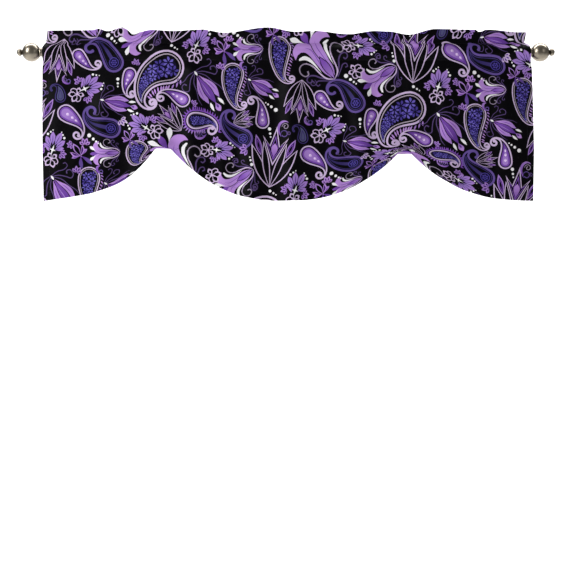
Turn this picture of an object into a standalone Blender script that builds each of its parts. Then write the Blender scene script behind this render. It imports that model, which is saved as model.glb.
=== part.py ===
"""A window valance on a curtain rod.

The cloth is one hemmed panel. Its top is folded to the back and stitched along two lines, which leaves
a standing header above and, between the lines, a pocket that the rod runs through. The hem is drawn up
at two places, so the lower edge hangs as a middle swag between two tails.

X runs along the rod, Z is up, and the front of the valance faces -Y. The origin is on the rod's axis,
half-way along it. All sizes are in millimetres, and MM turns them into Blender's metres.
"""

import math

import bmesh
import bpy
import numpy as np

MM = 0.001

# Gap between two pieces that touch on the real thing
FIT = 0.3

# Mesh: points nearer than this, in metres, are one, and edges are smooth up to these angles in degrees
MERGE = 1e-6
METAL_SMOOTH_ANGLE = 40
CLOTH_SMOOTH_ANGLE = 60

# Rod, a plain round tube
ROD_RADIUS = 9.5
ROD_BORE_RADIUS = 8.5
ROD_HALF_LENGTH = 669.1
ROD_SIDES = 32

# Ferrule, the grooved ring over each end of the rod
FERRULE_LENGTH = 14.0
FERRULE_RADIUS = 11.8
GROOVE_DEPTH = 0.9
GROOVE_WIDTH = 1.6
GROOVE_PLACES = (4.2, 8.8)

# Finial, turned in one piece: a spigot in the rod's bore, a ball, a short neck and a flattened tip
SPIGOT_LENGTH = 30.0
BALL_RADIUS = 25.3
BALL_CENTRE = 691.7
BALL_END = 714.2
NECK_RADIUS = 6.2
NECK_START = 715.8
TIP_CENTRE = 722.3
TIP_RADIUS = 10.4
TIP_BACK_LENGTH = 5.0
TIP_FRONT_LENGTH = 9.4
END_SIDES = 26
BALL_STEPS = 12
TIP_STEPS = 5

# Cloth: one layer's thickness, and how far its hemmed and plain parts reach behind its middle
CLOTH = 1.2
PLAIN_BACK = CLOTH / 2
HEM_BACK = 1.5 * CLOTH
HEADER_SEAM_Z = 24.0
POCKET_SEAM_Z = -21.0
SEAM_THICKNESS = 2.0
POCKET_END_GAP = 1.8
POCKET_DEPTH = 10.05
POCKET_END_DEPTH = 14.6
POCKET_FLARE = 40.0
HEM_DEPTH = 22.0
HEM_STEP = 1.5
SIDE_HEM = 20.0
STATION_SPACING = 17.0
LEAST_SPACING = 7.0
BODY_ROWS = 10
HEADER_MEAN_Z = 58.5
HEADER_RIPPLE = 0.7
FLUTE_START = 30.0
PUCKER_SLOPE = 0.25

# Rows of the pocket's wall between its two seams
POCKET_ROWS_Z = (17.0, 9.0, 3.0, -3.0, -9.0, -15.0)

# Left and right edges of the cloth from the header down to the hem
SIDE_EDGES = (
    # z, left x, right x
    (62.0, -647.0, 656.0),
    (26.0, -652.0, 648.0),
    (19.0, -659.5, 661.5),
    (0.0, -660.5, 664.0),
    (-20.0, -660.5, 665.5),
    (-47.0, -661.8, 669.5),
    (-157.0, -662.0, 672.5),
    (-266.0, -661.5, 675.0),
    (-404.0, -658.5, 672.5),
)

# Peaks and dips of the header's top edge
TOP_EDGE = (
    # x, z
    (-650.0, 59.0),
    (-535.0, 60.0),
    (-517.0, 63.4),
    (-493.0, 57.4),
    (-451.0, 66.6),
    (-421.0, 52.5),
    (-370.0, 60.5),
    (-307.0, 58.0),
    (-231.0, 61.7),
    (-168.0, 53.9),
    (-48.0, 66.6),
    (30.0, 56.3),
    (82.0, 58.3),
    (180.0, 50.3),
    (251.0, 58.0),
    (289.0, 56.8),
    (347.0, 49.2),
    (417.0, 62.8),
    (528.0, 61.2),
    (542.0, 55.2),
    (560.0, 61.2),
    (655.0, 55.0),
)

# Each side of the three swags, from the corner of a drawn-up place down to the lowest point
SWAGS = (
    # top x, top z, low x, low z, roundness, share of the fall that is straight
    (-353.0, -263.0, -658.5, -404.5, 4.0, 0.30),
    (-311.0, -263.0, -5.0, -404.0, 2.45, 0.0),
    (304.0, -276.6, -5.0, -404.0, 2.45, 0.0),
    (340.5, -277.5, 672.5, -404.0, 2.6, 0.0),
)

# Soft upright flutes: where each stands forward, how far it spreads and where it starts
FLUTES = (
    # x, half width, forward, top z, full depth below, slant in x to the hem
    (-622.0, 34.0, 7.0, -20.0, 120.0, 6.0),
    (-556.0, 27.0, 6.0, -20.0, 160.0, -12.0),
    (-478.0, 30.0, 10.0, -60.0, 90.0, -18.0),
    (-405.0, 26.0, 8.5, -70.0, 110.0, 12.0),
    (-342.0, 28.0, 10.5, 25.0, 40.0, 0.0),
    (-260.0, 27.0, 10.5, 10.0, 50.0, 8.0),
    (-178.0, 25.0, 6.5, -40.0, 120.0, 10.0),
    (-95.0, 27.0, 15.0, -60.0, 80.0, 2.0),
    (41.0, 29.0, 14.0, -20.0, 80.0, -24.0),
    (128.0, 23.0, 5.5, -50.0, 130.0, 10.0),
    (199.0, 29.0, 12.5, -30.0, 70.0, 6.0),
    (268.0, 22.0, 6.0, -30.0, 120.0, 20.0),
    (352.0, 24.0, 6.5, -10.0, 60.0, -6.0),
    (428.0, 30.0, 10.0, -50.0, 110.0, 14.0),
    (508.0, 27.0, 7.0, -20.0, 120.0, 6.0),
    (606.0, 46.0, 14.0, -40.0, 70.0, 4.0),
)

# Where the hem is drawn up, small folds lie across the cloth just above
PUCKERS = (
    # x, z, half width, height, depth, pitch
    (-332.0, -263.0, 62.0, 118.0, 5.0, 43.0),
    (322.0, -277.0, 66.0, 124.0, 5.5, 45.0),
)

# The pocket stands off the rod here and there, more in front than behind
POCKET_PUFF_FRONT = 3.2
POCKET_PUFF_BACK = 1.4
POCKET_PUFF_PITCH = 97.0


def cleared_scene():
    for old in list(bpy.data.objects):
        bpy.data.objects.remove(old, do_unlink=True)


def material(name, colour, roughness, metallic):
    made = bpy.data.materials.new(name)
    made.use_nodes = True
    shader = made.node_tree.nodes["Principled BSDF"]
    shader.inputs["Base Color"].default_value = (*colour, 1.0)
    shader.inputs["Roughness"].default_value = roughness
    shader.inputs["Metallic"].default_value = metallic
    return made


def new_object(name, bm, made_of, smooth_angle):
    bmesh.ops.recalc_face_normals(bm, faces=bm.faces)
    mesh = bpy.data.meshes.new(name)
    bm.to_mesh(mesh)
    bm.free()
    mesh.shade_smooth()
    mesh.set_sharp_from_angle(angle=math.radians(smooth_angle))
    mesh.materials.append(made_of)
    made = bpy.data.objects.new(name, mesh)
    bpy.context.collection.objects.link(made)
    return made


def turned(name, profile, sides, made_of):
    """A closed (distance along X, radius) profile, spun round the X axis."""
    bm = bmesh.new()
    points = [bm.verts.new((along * MM, 0.0, radius * MM)) for along, radius in profile]
    ring = zip(points, points[1:] + points[:1])
    edges = [bm.edges.new(pair) for pair in ring]
    bmesh.ops.spin(
        bm,
        geom=points + edges,
        cent=(0, 0, 0),
        axis=(1, 0, 0),
        dvec=(0, 0, 0),
        angle=math.tau,
        steps=sides,
        use_merge=True,
    )
    bmesh.ops.remove_doubles(bm, verts=bm.verts, dist=MERGE)
    flat = [edge for edge in bm.edges if not edge.link_faces]
    bmesh.ops.delete(bm, geom=flat, context="EDGES")
    return new_object(name, bm, made_of, METAL_SMOOTH_ANGLE)


def arc(centre, length, radius, start_degrees, end_degrees, steps):
    """Points of a round or oval profile. 0 degrees points outwards along X, and 90 away from the axis."""
    turns = np.radians(np.linspace(start_degrees, end_degrees, steps + 1))
    return [(centre + length * math.cos(t), radius * math.sin(t)) for t in turns]


def rod(made_of):
    profile = [
        (-ROD_HALF_LENGTH, ROD_BORE_RADIUS),
        (-ROD_HALF_LENGTH, ROD_RADIUS),
        (ROD_HALF_LENGTH, ROD_RADIUS),
        (ROD_HALF_LENGTH, ROD_BORE_RADIUS),
    ]
    return turned("rod", profile, ROD_SIDES, made_of)


def mirrored(profile, side):
    return [(side * along, radius) for along, radius in profile]


def ferrule(name, side, made_of):
    start = ROD_HALF_LENGTH - FERRULE_LENGTH
    inner = ROD_RADIUS + FIT
    profile = [(start, inner), (start, FERRULE_RADIUS)]
    for place in GROOVE_PLACES:
        near, far = start + place, start + place + GROOVE_WIDTH
        middle = (near + far) / 2
        profile += [(near, FERRULE_RADIUS), (middle, FERRULE_RADIUS - GROOVE_DEPTH), (far, FERRULE_RADIUS)]
    profile += [(ROD_HALF_LENGTH, FERRULE_RADIUS), (ROD_HALF_LENGTH, inner)]
    return turned(name, mirrored(profile, side), END_SIDES, made_of)


def finial(name, side, made_of):
    spigot = ROD_BORE_RADIUS - FIT
    back = ROD_HALF_LENGTH + FIT
    back_angle = math.degrees(math.acos((back - BALL_CENTRE) / BALL_RADIUS))
    end_angle = math.degrees(math.acos((BALL_END - BALL_CENTRE) / BALL_RADIUS))
    tip_angle = 180 - math.degrees(math.asin(NECK_RADIUS / TIP_RADIUS))
    profile = [(back - SPIGOT_LENGTH, 0.0), (back - SPIGOT_LENGTH, spigot), (back, spigot)]
    profile += arc(BALL_CENTRE, BALL_RADIUS, BALL_RADIUS, back_angle, end_angle, BALL_STEPS)
    profile += [(NECK_START, NECK_RADIUS)]
    profile += arc(TIP_CENTRE, TIP_BACK_LENGTH, TIP_RADIUS, tip_angle, 90, TIP_STEPS)
    profile += arc(TIP_CENTRE, TIP_FRONT_LENGTH, TIP_RADIUS, 90, 0, TIP_STEPS)[1:]
    profile[-1] = (TIP_CENTRE + TIP_FRONT_LENGTH, 0.0)
    return turned(name, mirrored(profile, side), END_SIDES, made_of)


def eased(t):
    t = np.clip(t, 0.0, 1.0)
    return t * t * (3 - 2 * t)


def eased_through(table, x):
    """Height at x of a line that runs level at each row of a table of (x, z)."""
    for (x0, z0), (x1, z1) in zip(table, table[1:]):
        if x <= x1:
            return z0 + (z1 - z0) * float(eased((x - x0) / (x1 - x0)))
    return table[-1][1]


def side_edges(z):
    heights, left, right = zip(*reversed(SIDE_EDGES))
    return float(np.interp(z, heights, left)), float(np.interp(z, heights, right))


def hem_z(x):
    """Height of the lower edge at x."""
    for top_x, top_z, low_x, low_z, roundness, straight in SWAGS:
        t = (x - top_x) / (low_x - top_x)
        if 0.0 <= t <= 1.0:
            fall = (1 - straight) * (1 - (1 - t) ** roundness) + straight * t
            return top_z + (low_z - top_z) * fall
    near = min(SWAGS, key=lambda swag: abs(x - swag[0]))
    return near[1]


def flutes(x, z):
    """How far the cloth stands forward at (x, z)."""
    forward = 0.0
    for centre, half_width, most, top, depth, slant in FLUTES:
        down = float(eased((top - z) / depth))
        off = (x - centre - slant * down) / half_width
        forward += most * down * math.exp(-off * off)
    return forward


def puckers(x, z):
    forward = 0.0
    for centre, low, half_width, height, most, pitch in PUCKERS:
        up = (z - low) / height
        off = (x - centre) / (half_width * (1 + max(up, 0.0)))
        if 0.0 <= up < 1.0:
            fade = (1 - up) ** 1.5 * math.exp(-off * off)
            bend = PUCKER_SLOPE * abs(x - centre)
            forward += most * fade * math.sin(math.tau * (z - low + bend) / pitch)
    return forward


def body_y(x, z):
    """Middle of the cloth's thickness below the pocket."""
    hold = float(eased((POCKET_SEAM_Z - z) / FLUTE_START))
    return -(flutes(x, z) + puckers(x, z)) * hold


def header_y(x, z, top):
    up = (z - HEADER_SEAM_Z) / (top - HEADER_SEAM_Z)
    return -HEADER_RIPPLE * (top - HEADER_MEAN_Z) * up


def pocket_half_depth(x, z, puff, shift):
    """Half the pocket's inner depth at (x, z): a lens round the rod, wider at both open ends."""
    end = POCKET_SEAM_Z + FIT if z < 0 else HEADER_SEAM_Z - FIT
    lens = 1 - (z / end) ** 2
    left, right = side_edges(z)
    to_edge = min(x - left, right - x)
    flare = (POCKET_END_DEPTH - POCKET_DEPTH) * float(eased(1 - to_edge / POCKET_FLARE))
    wave = 0.5 - 0.5 * math.cos(math.tau * (x + shift) / POCKET_PUFF_PITCH)
    return (POCKET_DEPTH + flare + puff * wave * wave) * lens


def place(share, z):
    """The x of a station at height z: its share of the way from the left edge to the right one."""
    left, right = side_edges(z)
    return left + share * (right - left)


def section(share, station_x):
    """(front, back, inner front, inner back) points of the cloth at one station, from the top down."""
    top = eased_through(TOP_EDGE, station_x)
    low = hem_z(station_x)
    hem_top = low + HEM_DEPTH
    in_side_hem = min(station_x - SIDE_EDGES[-1][1], SIDE_EDGES[-1][2] - station_x) < SIDE_HEM - 1
    front, back, inner_front, inner_back = [], [], [], []

    def layer(z, middle, forward, backward):
        x = place(share, z)
        front.append((x, middle - forward, z))
        back.append((x, middle + backward, z))

    for z in (top, (top + HEADER_SEAM_Z) / 2):
        layer(z, header_y(station_x, z, top), CLOTH, CLOTH)
    layer(HEADER_SEAM_Z, 0.0, SEAM_THICKNESS / 2, SEAM_THICKNESS / 2)
    inner_front.append((place(share, HEADER_SEAM_Z), 0.0, HEADER_SEAM_Z - POCKET_END_GAP))
    inner_back.append(inner_front[0])
    for z in POCKET_ROWS_Z:
        x = place(share, z)
        before = pocket_half_depth(x, z, POCKET_PUFF_FRONT, 0.0)
        behind = pocket_half_depth(x, z, POCKET_PUFF_BACK, POCKET_PUFF_PITCH / 3)
        layer(z, 0.0, before + CLOTH, behind + CLOTH)
        inner_front.append((x, -before, z))
        inner_back.append((x, behind, z))
    layer(POCKET_SEAM_Z, 0.0, SEAM_THICKNESS / 2, SEAM_THICKNESS / 2)
    inner_front.append((place(share, POCKET_SEAM_Z), 0.0, POCKET_SEAM_Z + POCKET_END_GAP))
    inner_back.append(inner_front[-1])
    backward = HEM_BACK if in_side_hem else PLAIN_BACK
    for row in range(1, BODY_ROWS + 1):
        z = POCKET_SEAM_Z + (hem_top + HEM_STEP - POCKET_SEAM_Z) * row / BODY_ROWS
        layer(z, body_y(station_x, z), CLOTH / 2, backward)
    for z in (hem_top, low):
        layer(z, body_y(station_x, z), CLOTH / 2, HEM_BACK)
    return front, back, inner_front, inner_back


def stations():
    """Places along the cloth: even steps, and the corners of the hem and of the side hems."""
    left, right = SIDE_EDGES[-1][1:]
    named = [left, left + SIDE_HEM, right - SIDE_HEM, right]
    named += [swag[0] for swag in SWAGS]
    count = round((right - left) / STATION_SPACING)
    even = np.linspace(left, right, count + 1)
    kept = [x for x in even if min(abs(x - other) for other in named) > LEAST_SPACING]
    return sorted(named + kept), left, right


def cap_faces(front, back, inner_front, inner_back, first_seam, last_seam):
    """The cut end of the cloth, as faces between its front and back points."""
    faces = []
    for i in range(len(front) - 1):
        if first_seam <= i < last_seam:
            k = i - first_seam
            faces.append((front[i], front[i + 1], inner_front[k + 1], inner_front[k]))
            faces.append((inner_back[k], inner_back[k + 1], back[i + 1], back[i]))
        else:
            faces.append((front[i], front[i + 1], back[i + 1], back[i]))
    faces.append((front[first_seam], inner_front[0], back[first_seam]))
    faces.append((front[last_seam], back[last_seam], inner_front[-1]))
    return faces


def valance(made_of):
    bm = bmesh.new()
    places, left, right = stations()
    rings = []
    for station_x in places:
        parts = section((station_x - left) / (right - left), station_x)
        front, back, inner_front, inner_back = [[tuple(np.array(p) * MM) for p in part] for part in parts]
        front = [bm.verts.new(p) for p in front]
        back = [bm.verts.new(p) for p in back]
        inner_front = [bm.verts.new(p) for p in inner_front]
        inner_back = [inner_front[0]] + [bm.verts.new(p) for p in inner_back[1:-1]] + [inner_front[-1]]
        rings.append((front, back, inner_front, inner_back))
    for ring, after in zip(rings, rings[1:]):
        outer = ring[0] + ring[1][::-1]
        outer_after = after[0] + after[1][::-1]
        inner = ring[2] + ring[3][-2:0:-1]
        inner_after = after[2] + after[3][-2:0:-1]
        for loop, loop_after in ((outer, outer_after), (inner, inner_after)):
            for i in range(len(loop)):
                bm.faces.new((loop[i - 1], loop_after[i - 1], loop_after[i], loop[i]))
    first_seam = 2
    last_seam = first_seam + len(POCKET_ROWS_Z) + 1
    for ring in (rings[0], rings[-1]):
        for face in cap_faces(*ring, first_seam, last_seam):
            bm.faces.new(face)
    return new_object("valance", bm, made_of, CLOTH_SMOOTH_ANGLE)


def main():
    cleared_scene()
    cloth = material("printed_cloth", (0.12, 0.07, 0.19), 0.75, 0.0)
    metal = material("aged_nickel", (0.30, 0.27, 0.22), 0.35, 1.0)
    hardware = bpy.data.objects.new("hardware", None)
    bpy.context.collection.objects.link(hardware)
    pieces = [rod(metal)]
    for word, side in (("left", -1), ("right", 1)):
        pieces.append(ferrule(f"ferrule_{word}", side, metal))
        pieces.append(finial(f"finial_{word}", side, metal))
    for piece in pieces:
        piece.parent = hardware
    valance(cloth)


main()
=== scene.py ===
"""The look of a window valance on its curtain rod: printed cloth, stitching and turned metal ends.

X runs along the rod, Z is up, and the front faces -Y, with the origin on the rod's axis. Sizes are in
millimetres unless a name says otherwise, and MM turns them into Blender's metres.

The cloth is worked out from its flat panel. Each point of the panel has a place `s` across it, which is
its x in the hanging valance, and a place `t` up it, which is its height in front. Past the top edge the
panel runs down again behind the rod, and past its other edges it is turned to the back as hems.
"""

import math

import bmesh
import bpy
import numpy as np
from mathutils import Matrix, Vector
from mathutils.geometry import delaunay_2d_cdt

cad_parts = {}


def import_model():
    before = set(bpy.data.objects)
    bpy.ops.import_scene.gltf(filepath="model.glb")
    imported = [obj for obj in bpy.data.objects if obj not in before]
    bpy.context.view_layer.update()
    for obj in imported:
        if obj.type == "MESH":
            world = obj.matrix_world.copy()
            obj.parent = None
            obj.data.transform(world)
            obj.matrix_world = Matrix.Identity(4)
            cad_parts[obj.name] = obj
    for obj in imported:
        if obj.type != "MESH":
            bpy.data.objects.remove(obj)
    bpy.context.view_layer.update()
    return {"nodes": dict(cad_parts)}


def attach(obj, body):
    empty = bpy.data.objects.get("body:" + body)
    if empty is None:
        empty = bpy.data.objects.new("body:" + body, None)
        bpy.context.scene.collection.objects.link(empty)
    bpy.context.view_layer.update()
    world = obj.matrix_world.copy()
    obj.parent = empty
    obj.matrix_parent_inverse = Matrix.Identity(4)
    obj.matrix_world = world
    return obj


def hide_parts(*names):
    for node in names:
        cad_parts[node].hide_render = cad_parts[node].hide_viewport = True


MM = 0.001

# The photograph's frame: its middle and its width at the cloth, seen level from straight in front
VIEW_X = 1.9
VIEW_Z = -637.0
VIEW_WIDTH = 1558.6
VIEW_DISTANCE = 3500.0
SENSOR = 36.0
FLOOR_Z = -1440.0

# Heights of the cloth in front
HEADER_SEAM = 24.0
POCKET_SEAM = -21.0
HEADER_FOLD = 58.5
HEM = -404.0
HEM_DEPTH = 22.0
SIDE_HEM = 20.0
ALLOWANCE = 8.0
LEFT = -658.5
RIGHT = 672.5

# Flat places behind the rod, past the fold at the top of the header
BACK_HEADER_SEAM = 2 * HEADER_FOLD - HEADER_SEAM
BACK_POCKET_SEAM = BACK_HEADER_SEAM + HEADER_SEAM - POCKET_SEAM
FLAT_TOP = BACK_POCKET_SEAM + ALLOWANCE
FLAT_BOTTOM = HEM - HEM_DEPTH
FLAT_LEFT = LEFT - SIDE_HEM
FLAT_RIGHT = RIGHT + SIDE_HEM
FLAT_LOW = np.array([FLAT_LEFT, FLAT_BOTTOM])
FLAT_HIGH = np.array([FLAT_RIGHT, FLAT_TOP])

# The cloth's thickness, the distance between its layers, half the length over which it turns at a fold and
# at the bottom hem's fold, and how round a hem's fold is
THICKNESS = 0.6
LAYER = 0.9
FOLD = 1.1
HEM_FOLD = 1.6 * FOLD
FOLD_ROUND = 0.5

# The mesh's lattice on the flat panel: its step, its closer lines at folds and seams, and the lines that
# are kept as edges, one of them where the bake's map is cut in two
GRID = 9.0
CLEAR = 3.2
ON_EDGE = 1e-3
AT_FOLD = (-2.4, -1.2, -0.6, 0.0, 0.6, 1.2, 2.4)
AT_SEAM = (-1.2, 0.0, 1.2)
FOLD_FENCES = (-1.2, 0.0, 1.2)
SPLIT = (FLAT_LEFT + FLAT_RIGHT) / 2
FOLDS_ACROSS = (LEFT, RIGHT)
FOLDS_UP = (HEM, HEADER_FOLD)
SEAMS_UP = (POCKET_SEAM, HEADER_SEAM, BACK_HEADER_SEAM, BACK_POCKET_SEAM)
FENCES_ACROSS = [fold + off for fold in FOLDS_ACROSS for off in FOLD_FENCES] + [SPLIT]
FENCES_UP = [fold + off for fold in FOLDS_UP for off in FOLD_FENCES] + list(SEAMS_UP)

# How often lattice_place halves the stretch it searches, the distance below which two corners of the flat
# mesh are one, and the step over which the cloth's direction is measured
HALVINGS = 24
SAME_PLACE = 1e-4
NORMAL_STEP = 0.05

# The print. One unit of its drawing is one pixel of the photograph, and PRINT_UNIT long on the cloth.
# PRINT_X and PRINT_Y are the place in the drawing of the panel's s = 0 and t = 0. The print repeats at every
# whole sum of the two REPEAT steps, of which the STEPS are enough to cover the panel. A point nearer than
# FLAT_POINT to the line between its neighbours is left out. Each dot of a row is DOT_SHRINK times the last.
PRINT_UNIT = 2.72
PRINT_X = 285.8
PRINT_Y = 52.3
REPEAT_ACROSS = (241.0, 41.0)
REPEAT_UP = (144.0, -104.0)
STEPS_ACROSS = range(-4, 5)
STEPS_UP = range(-6, 7)
FLAT_POINT = 0.06
DOT_SHRINK = 0.72

# The bake's map, and how the print shows on the reverse side
MAP_GAP = 3.0
REVERSE_SCALE = 0.78
REVERSE_GROUND = 0.045
REVERSE_SHARE = 0.28
REVERSE_COLOUR = 0.6
SHOWS_THROUGH = 84.0
COARSE_POINT = 1.6

# Weave, in metres
THREAD_PITCH = 0.00042

# Stitches, with their distance from the cloth's ends and the raw edges of the hems
STITCH_PITCH = 3.2
STITCH_LENGTH = 2.6
STITCH_MARGIN = 2.0
STITCH_IN = HEM_DEPTH - STITCH_MARGIN
SIDE_STITCH_IN = SIDE_HEM - STITCH_MARGIN
THREAD_RADIUS = 0.2
THREAD_SIDES = 5
STITCH_PROFILE = (
    # share of the half length, share of the radius, lift in radii
    (-1.0, 0.35, -0.3),
    (-0.72, 1.0, 0.35),
    (0.72, 1.0, 0.35),
    (1.0, 0.35, -0.3),
)

# Pocket round the rod
POCKET_DEPTH = 10.65
POCKET_END_DEPTH = 15.2
POCKET_FLARE = 40.0
PUFF_FRONT = 3.2
PUFF_BACK = 1.4
PUFF_PITCH = 97.0
HEADER_GAP = 1.0
HEADER_RIPPLE = 0.7

# Below the pocket's seam the flutes come on over FLUTE_START, and the two layers at the seam ease into their
# own places over SETTLE. The layers of a side hem count up to EDGE_FROM past the hem's raw edge, and ease off
# over the last EDGE_OVER of it.
FLUTE_START = 30.0
SETTLE = 12.0
EDGE_FROM = 7.0
EDGE_OVER = 6.0

# Left and right edges of the cloth from the header down to the hem
SIDE_EDGES = (
    # z, left x, right x
    (62, -647, 656),
    (26, -652, 648),
    (19, -659.5, 661.5),
    (0, -660.5, 664),
    (-20, -660.5, 665.5),
    (-47, -661.8, 669.5),
    (-157, -662, 672.5),
    (-266, -661.5, 675),
    (-404, -658.5, 672.5),
)

# Peaks and dips of the header's top edge
TOP_EDGE = (
    # x, z
    (-650, 59), (-535, 60), (-517, 63.4), (-493, 57.4), (-451, 66.6), (-421, 52.5),
    (-370, 60.5), (-307, 58), (-231, 61.7), (-168, 53.9), (-48, 66.6), (30, 56.3),
    (82, 58.3), (180, 50.3), (251, 58), (289, 56.8), (347, 49.2), (417, 62.8),
    (528, 61.2), (542, 55.2), (560, 61.2), (655, 55),
)

# Each side of the three swags, from the corner of a drawn-up place down to the lowest point
SWAGS = (
    # top x, top z, low x, low z, roundness, share of the fall that is straight
    (-353, -263, -658.5, -404.5, 4, 0.30),
    (-311, -263, -5, -404, 2.45, 0),
    (304, -276.6, -5, -404, 2.45, 0),
    (340.5, -277.5, 672.5, -404, 2.6, 0),
)
NOTCHES = ((-353, -311, -263), (304, 340.5, -277))

# Soft upright flutes: where each stands forward, how far it spreads and where it starts
FLUTES = (
    # x, half width, forward, top z, full depth below, slant in x to the hem
    (-622, 34, 7, -20, 120, 6),
    (-556, 27, 6, -20, 160, -12),
    (-478, 30, 10, -60, 90, -18),
    (-405, 26, 8.5, -70, 110, 12),
    (-342, 28, 10.5, 25, 40, 0),
    (-260, 27, 10.5, 10, 50, 8),
    (-178, 25, 6.5, -40, 120, 10),
    (-95, 27, 15, -60, 80, 2),
    (41, 29, 14, -20, 80, -24),
    (128, 23, 5.5, -50, 130, 10),
    (199, 29, 12.5, -30, 70, 6),
    (268, 22, 6, -30, 120, 20),
    (352, 24, 6.5, -10, 60, -6),
    (428, 30, 10, -50, 110, 14),
    (508, 27, 7, -20, 120, 6),
    (606, 46, 14, -40, 70, 4),
)

# Where the hem is drawn up, small folds lie across the cloth just above. They slope down to both sides.
PUCKERS = (
    # x, z, half width, height, depth, pitch
    (-332, -263, 62, 118, 4, 43),
    (322, -277, 66, 124, 4.2, 45),
)
PUCKER_SLOPE = 0.25

# Right of DRAWN_UP_FROM the lower edge is drawn up, and left of it the cloth is cut to the edge's shape. In
# the stretch beside the left notch LEFT_DRAWN_SHARE of the edge's rise is drawn up too and only the rest is
# cut, which comes on and goes off slowly. Drawing up closes up GATHER_LENGTH of the cloth above the hem, and
# comes on over GATHER_RAMP.
DRAWN_UP_FROM = -5.0
LEFT_DRAWN_FROM = -490.0
LEFT_DRAWN_TO = -338.0
LEFT_COMES_ON = 70.0
LEFT_GOES_OFF = 40.0
LEFT_DRAWN_SHARE = 0.84
GATHER_LENGTH = 148.0
GATHER_RAMP = 60.0

# Rod and its turned ends, as in the CAD model
TURNED_SIDES = 96
ROD_RADIUS = 9.5
ROD_HALF_LENGTH = 669.1
FERRULE_LENGTH = 14.0
FERRULE_RADIUS = 11.8
GROOVE_DEPTH = 0.9
GROOVE_WIDTH = 1.6
GROOVE_PLACES = (4.2, 8.8)
SPIGOT_LENGTH = 30.0
BALL_RADIUS = 25.3
BALL_CENTRE = 691.7
BALL_END = 714.2
NECK_RADIUS = 6.2
TIP_CENTRE = 722.3
TIP_RADIUS = 10.4
TIP_BACK_LENGTH = 5.0
TIP_FRONT_LENGTH = 9.4
SPIGOT_RADIUS = 8.2
NECK_WAIST = 1.4
FIT = 0.3
BEVEL = 0.4

# Points of a turned piece nearer than WELD, in metres, become one. Edges over SHARP_ANGLE stay sharp.
WELD = 1e-6
SHARP_ANGLE = math.radians(50)

# Linear colours: thread with painted shade between its strands and a painted highlight on them, nickel and
# its patina, and the studio's paint
THREAD_PAINTED_SHADE = (0.006, 0.005, 0.009, 1)
THREAD_PAINTED_HIGHLIGHT = (0.022, 0.018, 0.03, 1)
NICKEL = (0.34, 0.30, 0.24, 1)
PATINA = (0.05, 0.038, 0.024, 1)
STUDIO_PAINT = (0.9, 0.9, 0.9, 1)
LIGHT_COLOUR = (1, 1, 1, 1)

# Studio, in metres and watts
STUDIO_HALF = 9.0
STUDIO_BACK = 6.5
STUDIO_CURVE = 1.6
CURVE_STEPS = 16
WORLD = 0.20
LIGHTS = (
    # name, place, aim, size, power
    ("key", (-2.6, -2.1, 0.9), (0, 0, -0.2), (0.6, 2.0), 84),
    ("fill", (2.4, -2.6, 0.7), (0, 0, -0.2), (1.2, 1.8), 6),
    ("wall", (0.0, 1.0, 3.4), (0, 5.6, -1.0), (8.0, 1.6), 700),
)


def eased(t):
    """0 up to t = 0 and 1 from t = 1, with a smooth step between."""
    t = np.clip(t, 0.0, 1.0)
    return t * t * (3 - 2 * t)


def past_fold(distance, half=FOLD):
    """0 before a fold and 1 past it, for the distance past its middle line."""
    return eased((distance + half) / (2 * half))


def eased_through(table, x):
    """Height at x of a line that runs level at each row of a table of (x, z)."""
    xs, zs = np.array(table).T
    x = np.clip(x, xs[0], xs[-1])
    row = np.clip(np.searchsorted(xs, x) - 1, 0, len(xs) - 2)
    along = eased((x - xs[row]) / (xs[row + 1] - xs[row]))
    return zs[row] + (zs[row + 1] - zs[row]) * along


def side_edges(z):
    """x of the cloth's left and right edge at height z."""
    heights, left, right = zip(*reversed(SIDE_EDGES))
    return np.interp(z, heights, left), np.interp(z, heights, right)


def hem_z(x):
    """Height of the lower edge at x."""
    height = np.full_like(x, HEM)
    for top_x, top_z, low_x, low_z, roundness, straight in SWAGS:
        t = (x - top_x) / (low_x - top_x)
        inside = (t >= 0) & (t <= 1)
        held = np.clip(t, 0, 1)
        fall = (1 - straight) * (1 - (1 - held) ** roundness) + straight * held
        height = np.where(inside, top_z + (low_z - top_z) * fall, height)
    for left, right, z in NOTCHES:
        height = np.where((x > left) & (x < right), z, height)
    return height


def hung_depth(depth, x):
    """How far below the pocket a point hangs whose flat distance from the pocket's seam is `depth`."""
    excess = np.maximum(hem_z(x) - HEM, 1e-3)
    whole = POCKET_SEAM - HEM
    share = excess / GATHER_LENGTH
    start = whole - GATHER_RAMP / 2 - GATHER_LENGTH
    q = np.clip((depth - start) / GATHER_RAMP, 0, 1)
    taken = GATHER_RAMP * (q**3 - q**4 / 2) + np.maximum(depth - start - GATHER_RAMP, 0)
    return depth - share * taken


def cut_share(s):
    """How far the lower edge's shape at s is cut, from 0 where it is only drawn up to 1."""
    drawn = eased((s - LEFT_DRAWN_FROM) / LEFT_COMES_ON) * eased((LEFT_DRAWN_TO - s) / LEFT_GOES_OFF)
    return np.where(s < DRAWN_UP_FROM, 1 - LEFT_DRAWN_SHARE * drawn, 0.0)


def lattice_place(places):
    """Places of the lattice for true places (s, t) on the flat cloth, which differ where it is cut away."""
    s, t = places.T
    depth = POCKET_SEAM - t
    whole = POCKET_SEAM - HEM
    below, above = np.zeros_like(depth), np.full_like(depth, whole)
    for _ in range(HALVINGS):
        middle = (below + above) / 2
        short = hung_depth(middle, s) < depth
        below, above = np.where(short, middle, below), np.where(short, above, middle)
    most = hung_depth(np.full_like(depth, whole), s)
    found = np.where(depth < most, below, whole + depth - most)
    cut = np.where(depth > 0, cut_share(s), 0.0)
    return np.stack([s, t + cut * (depth - found)], 1)


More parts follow.
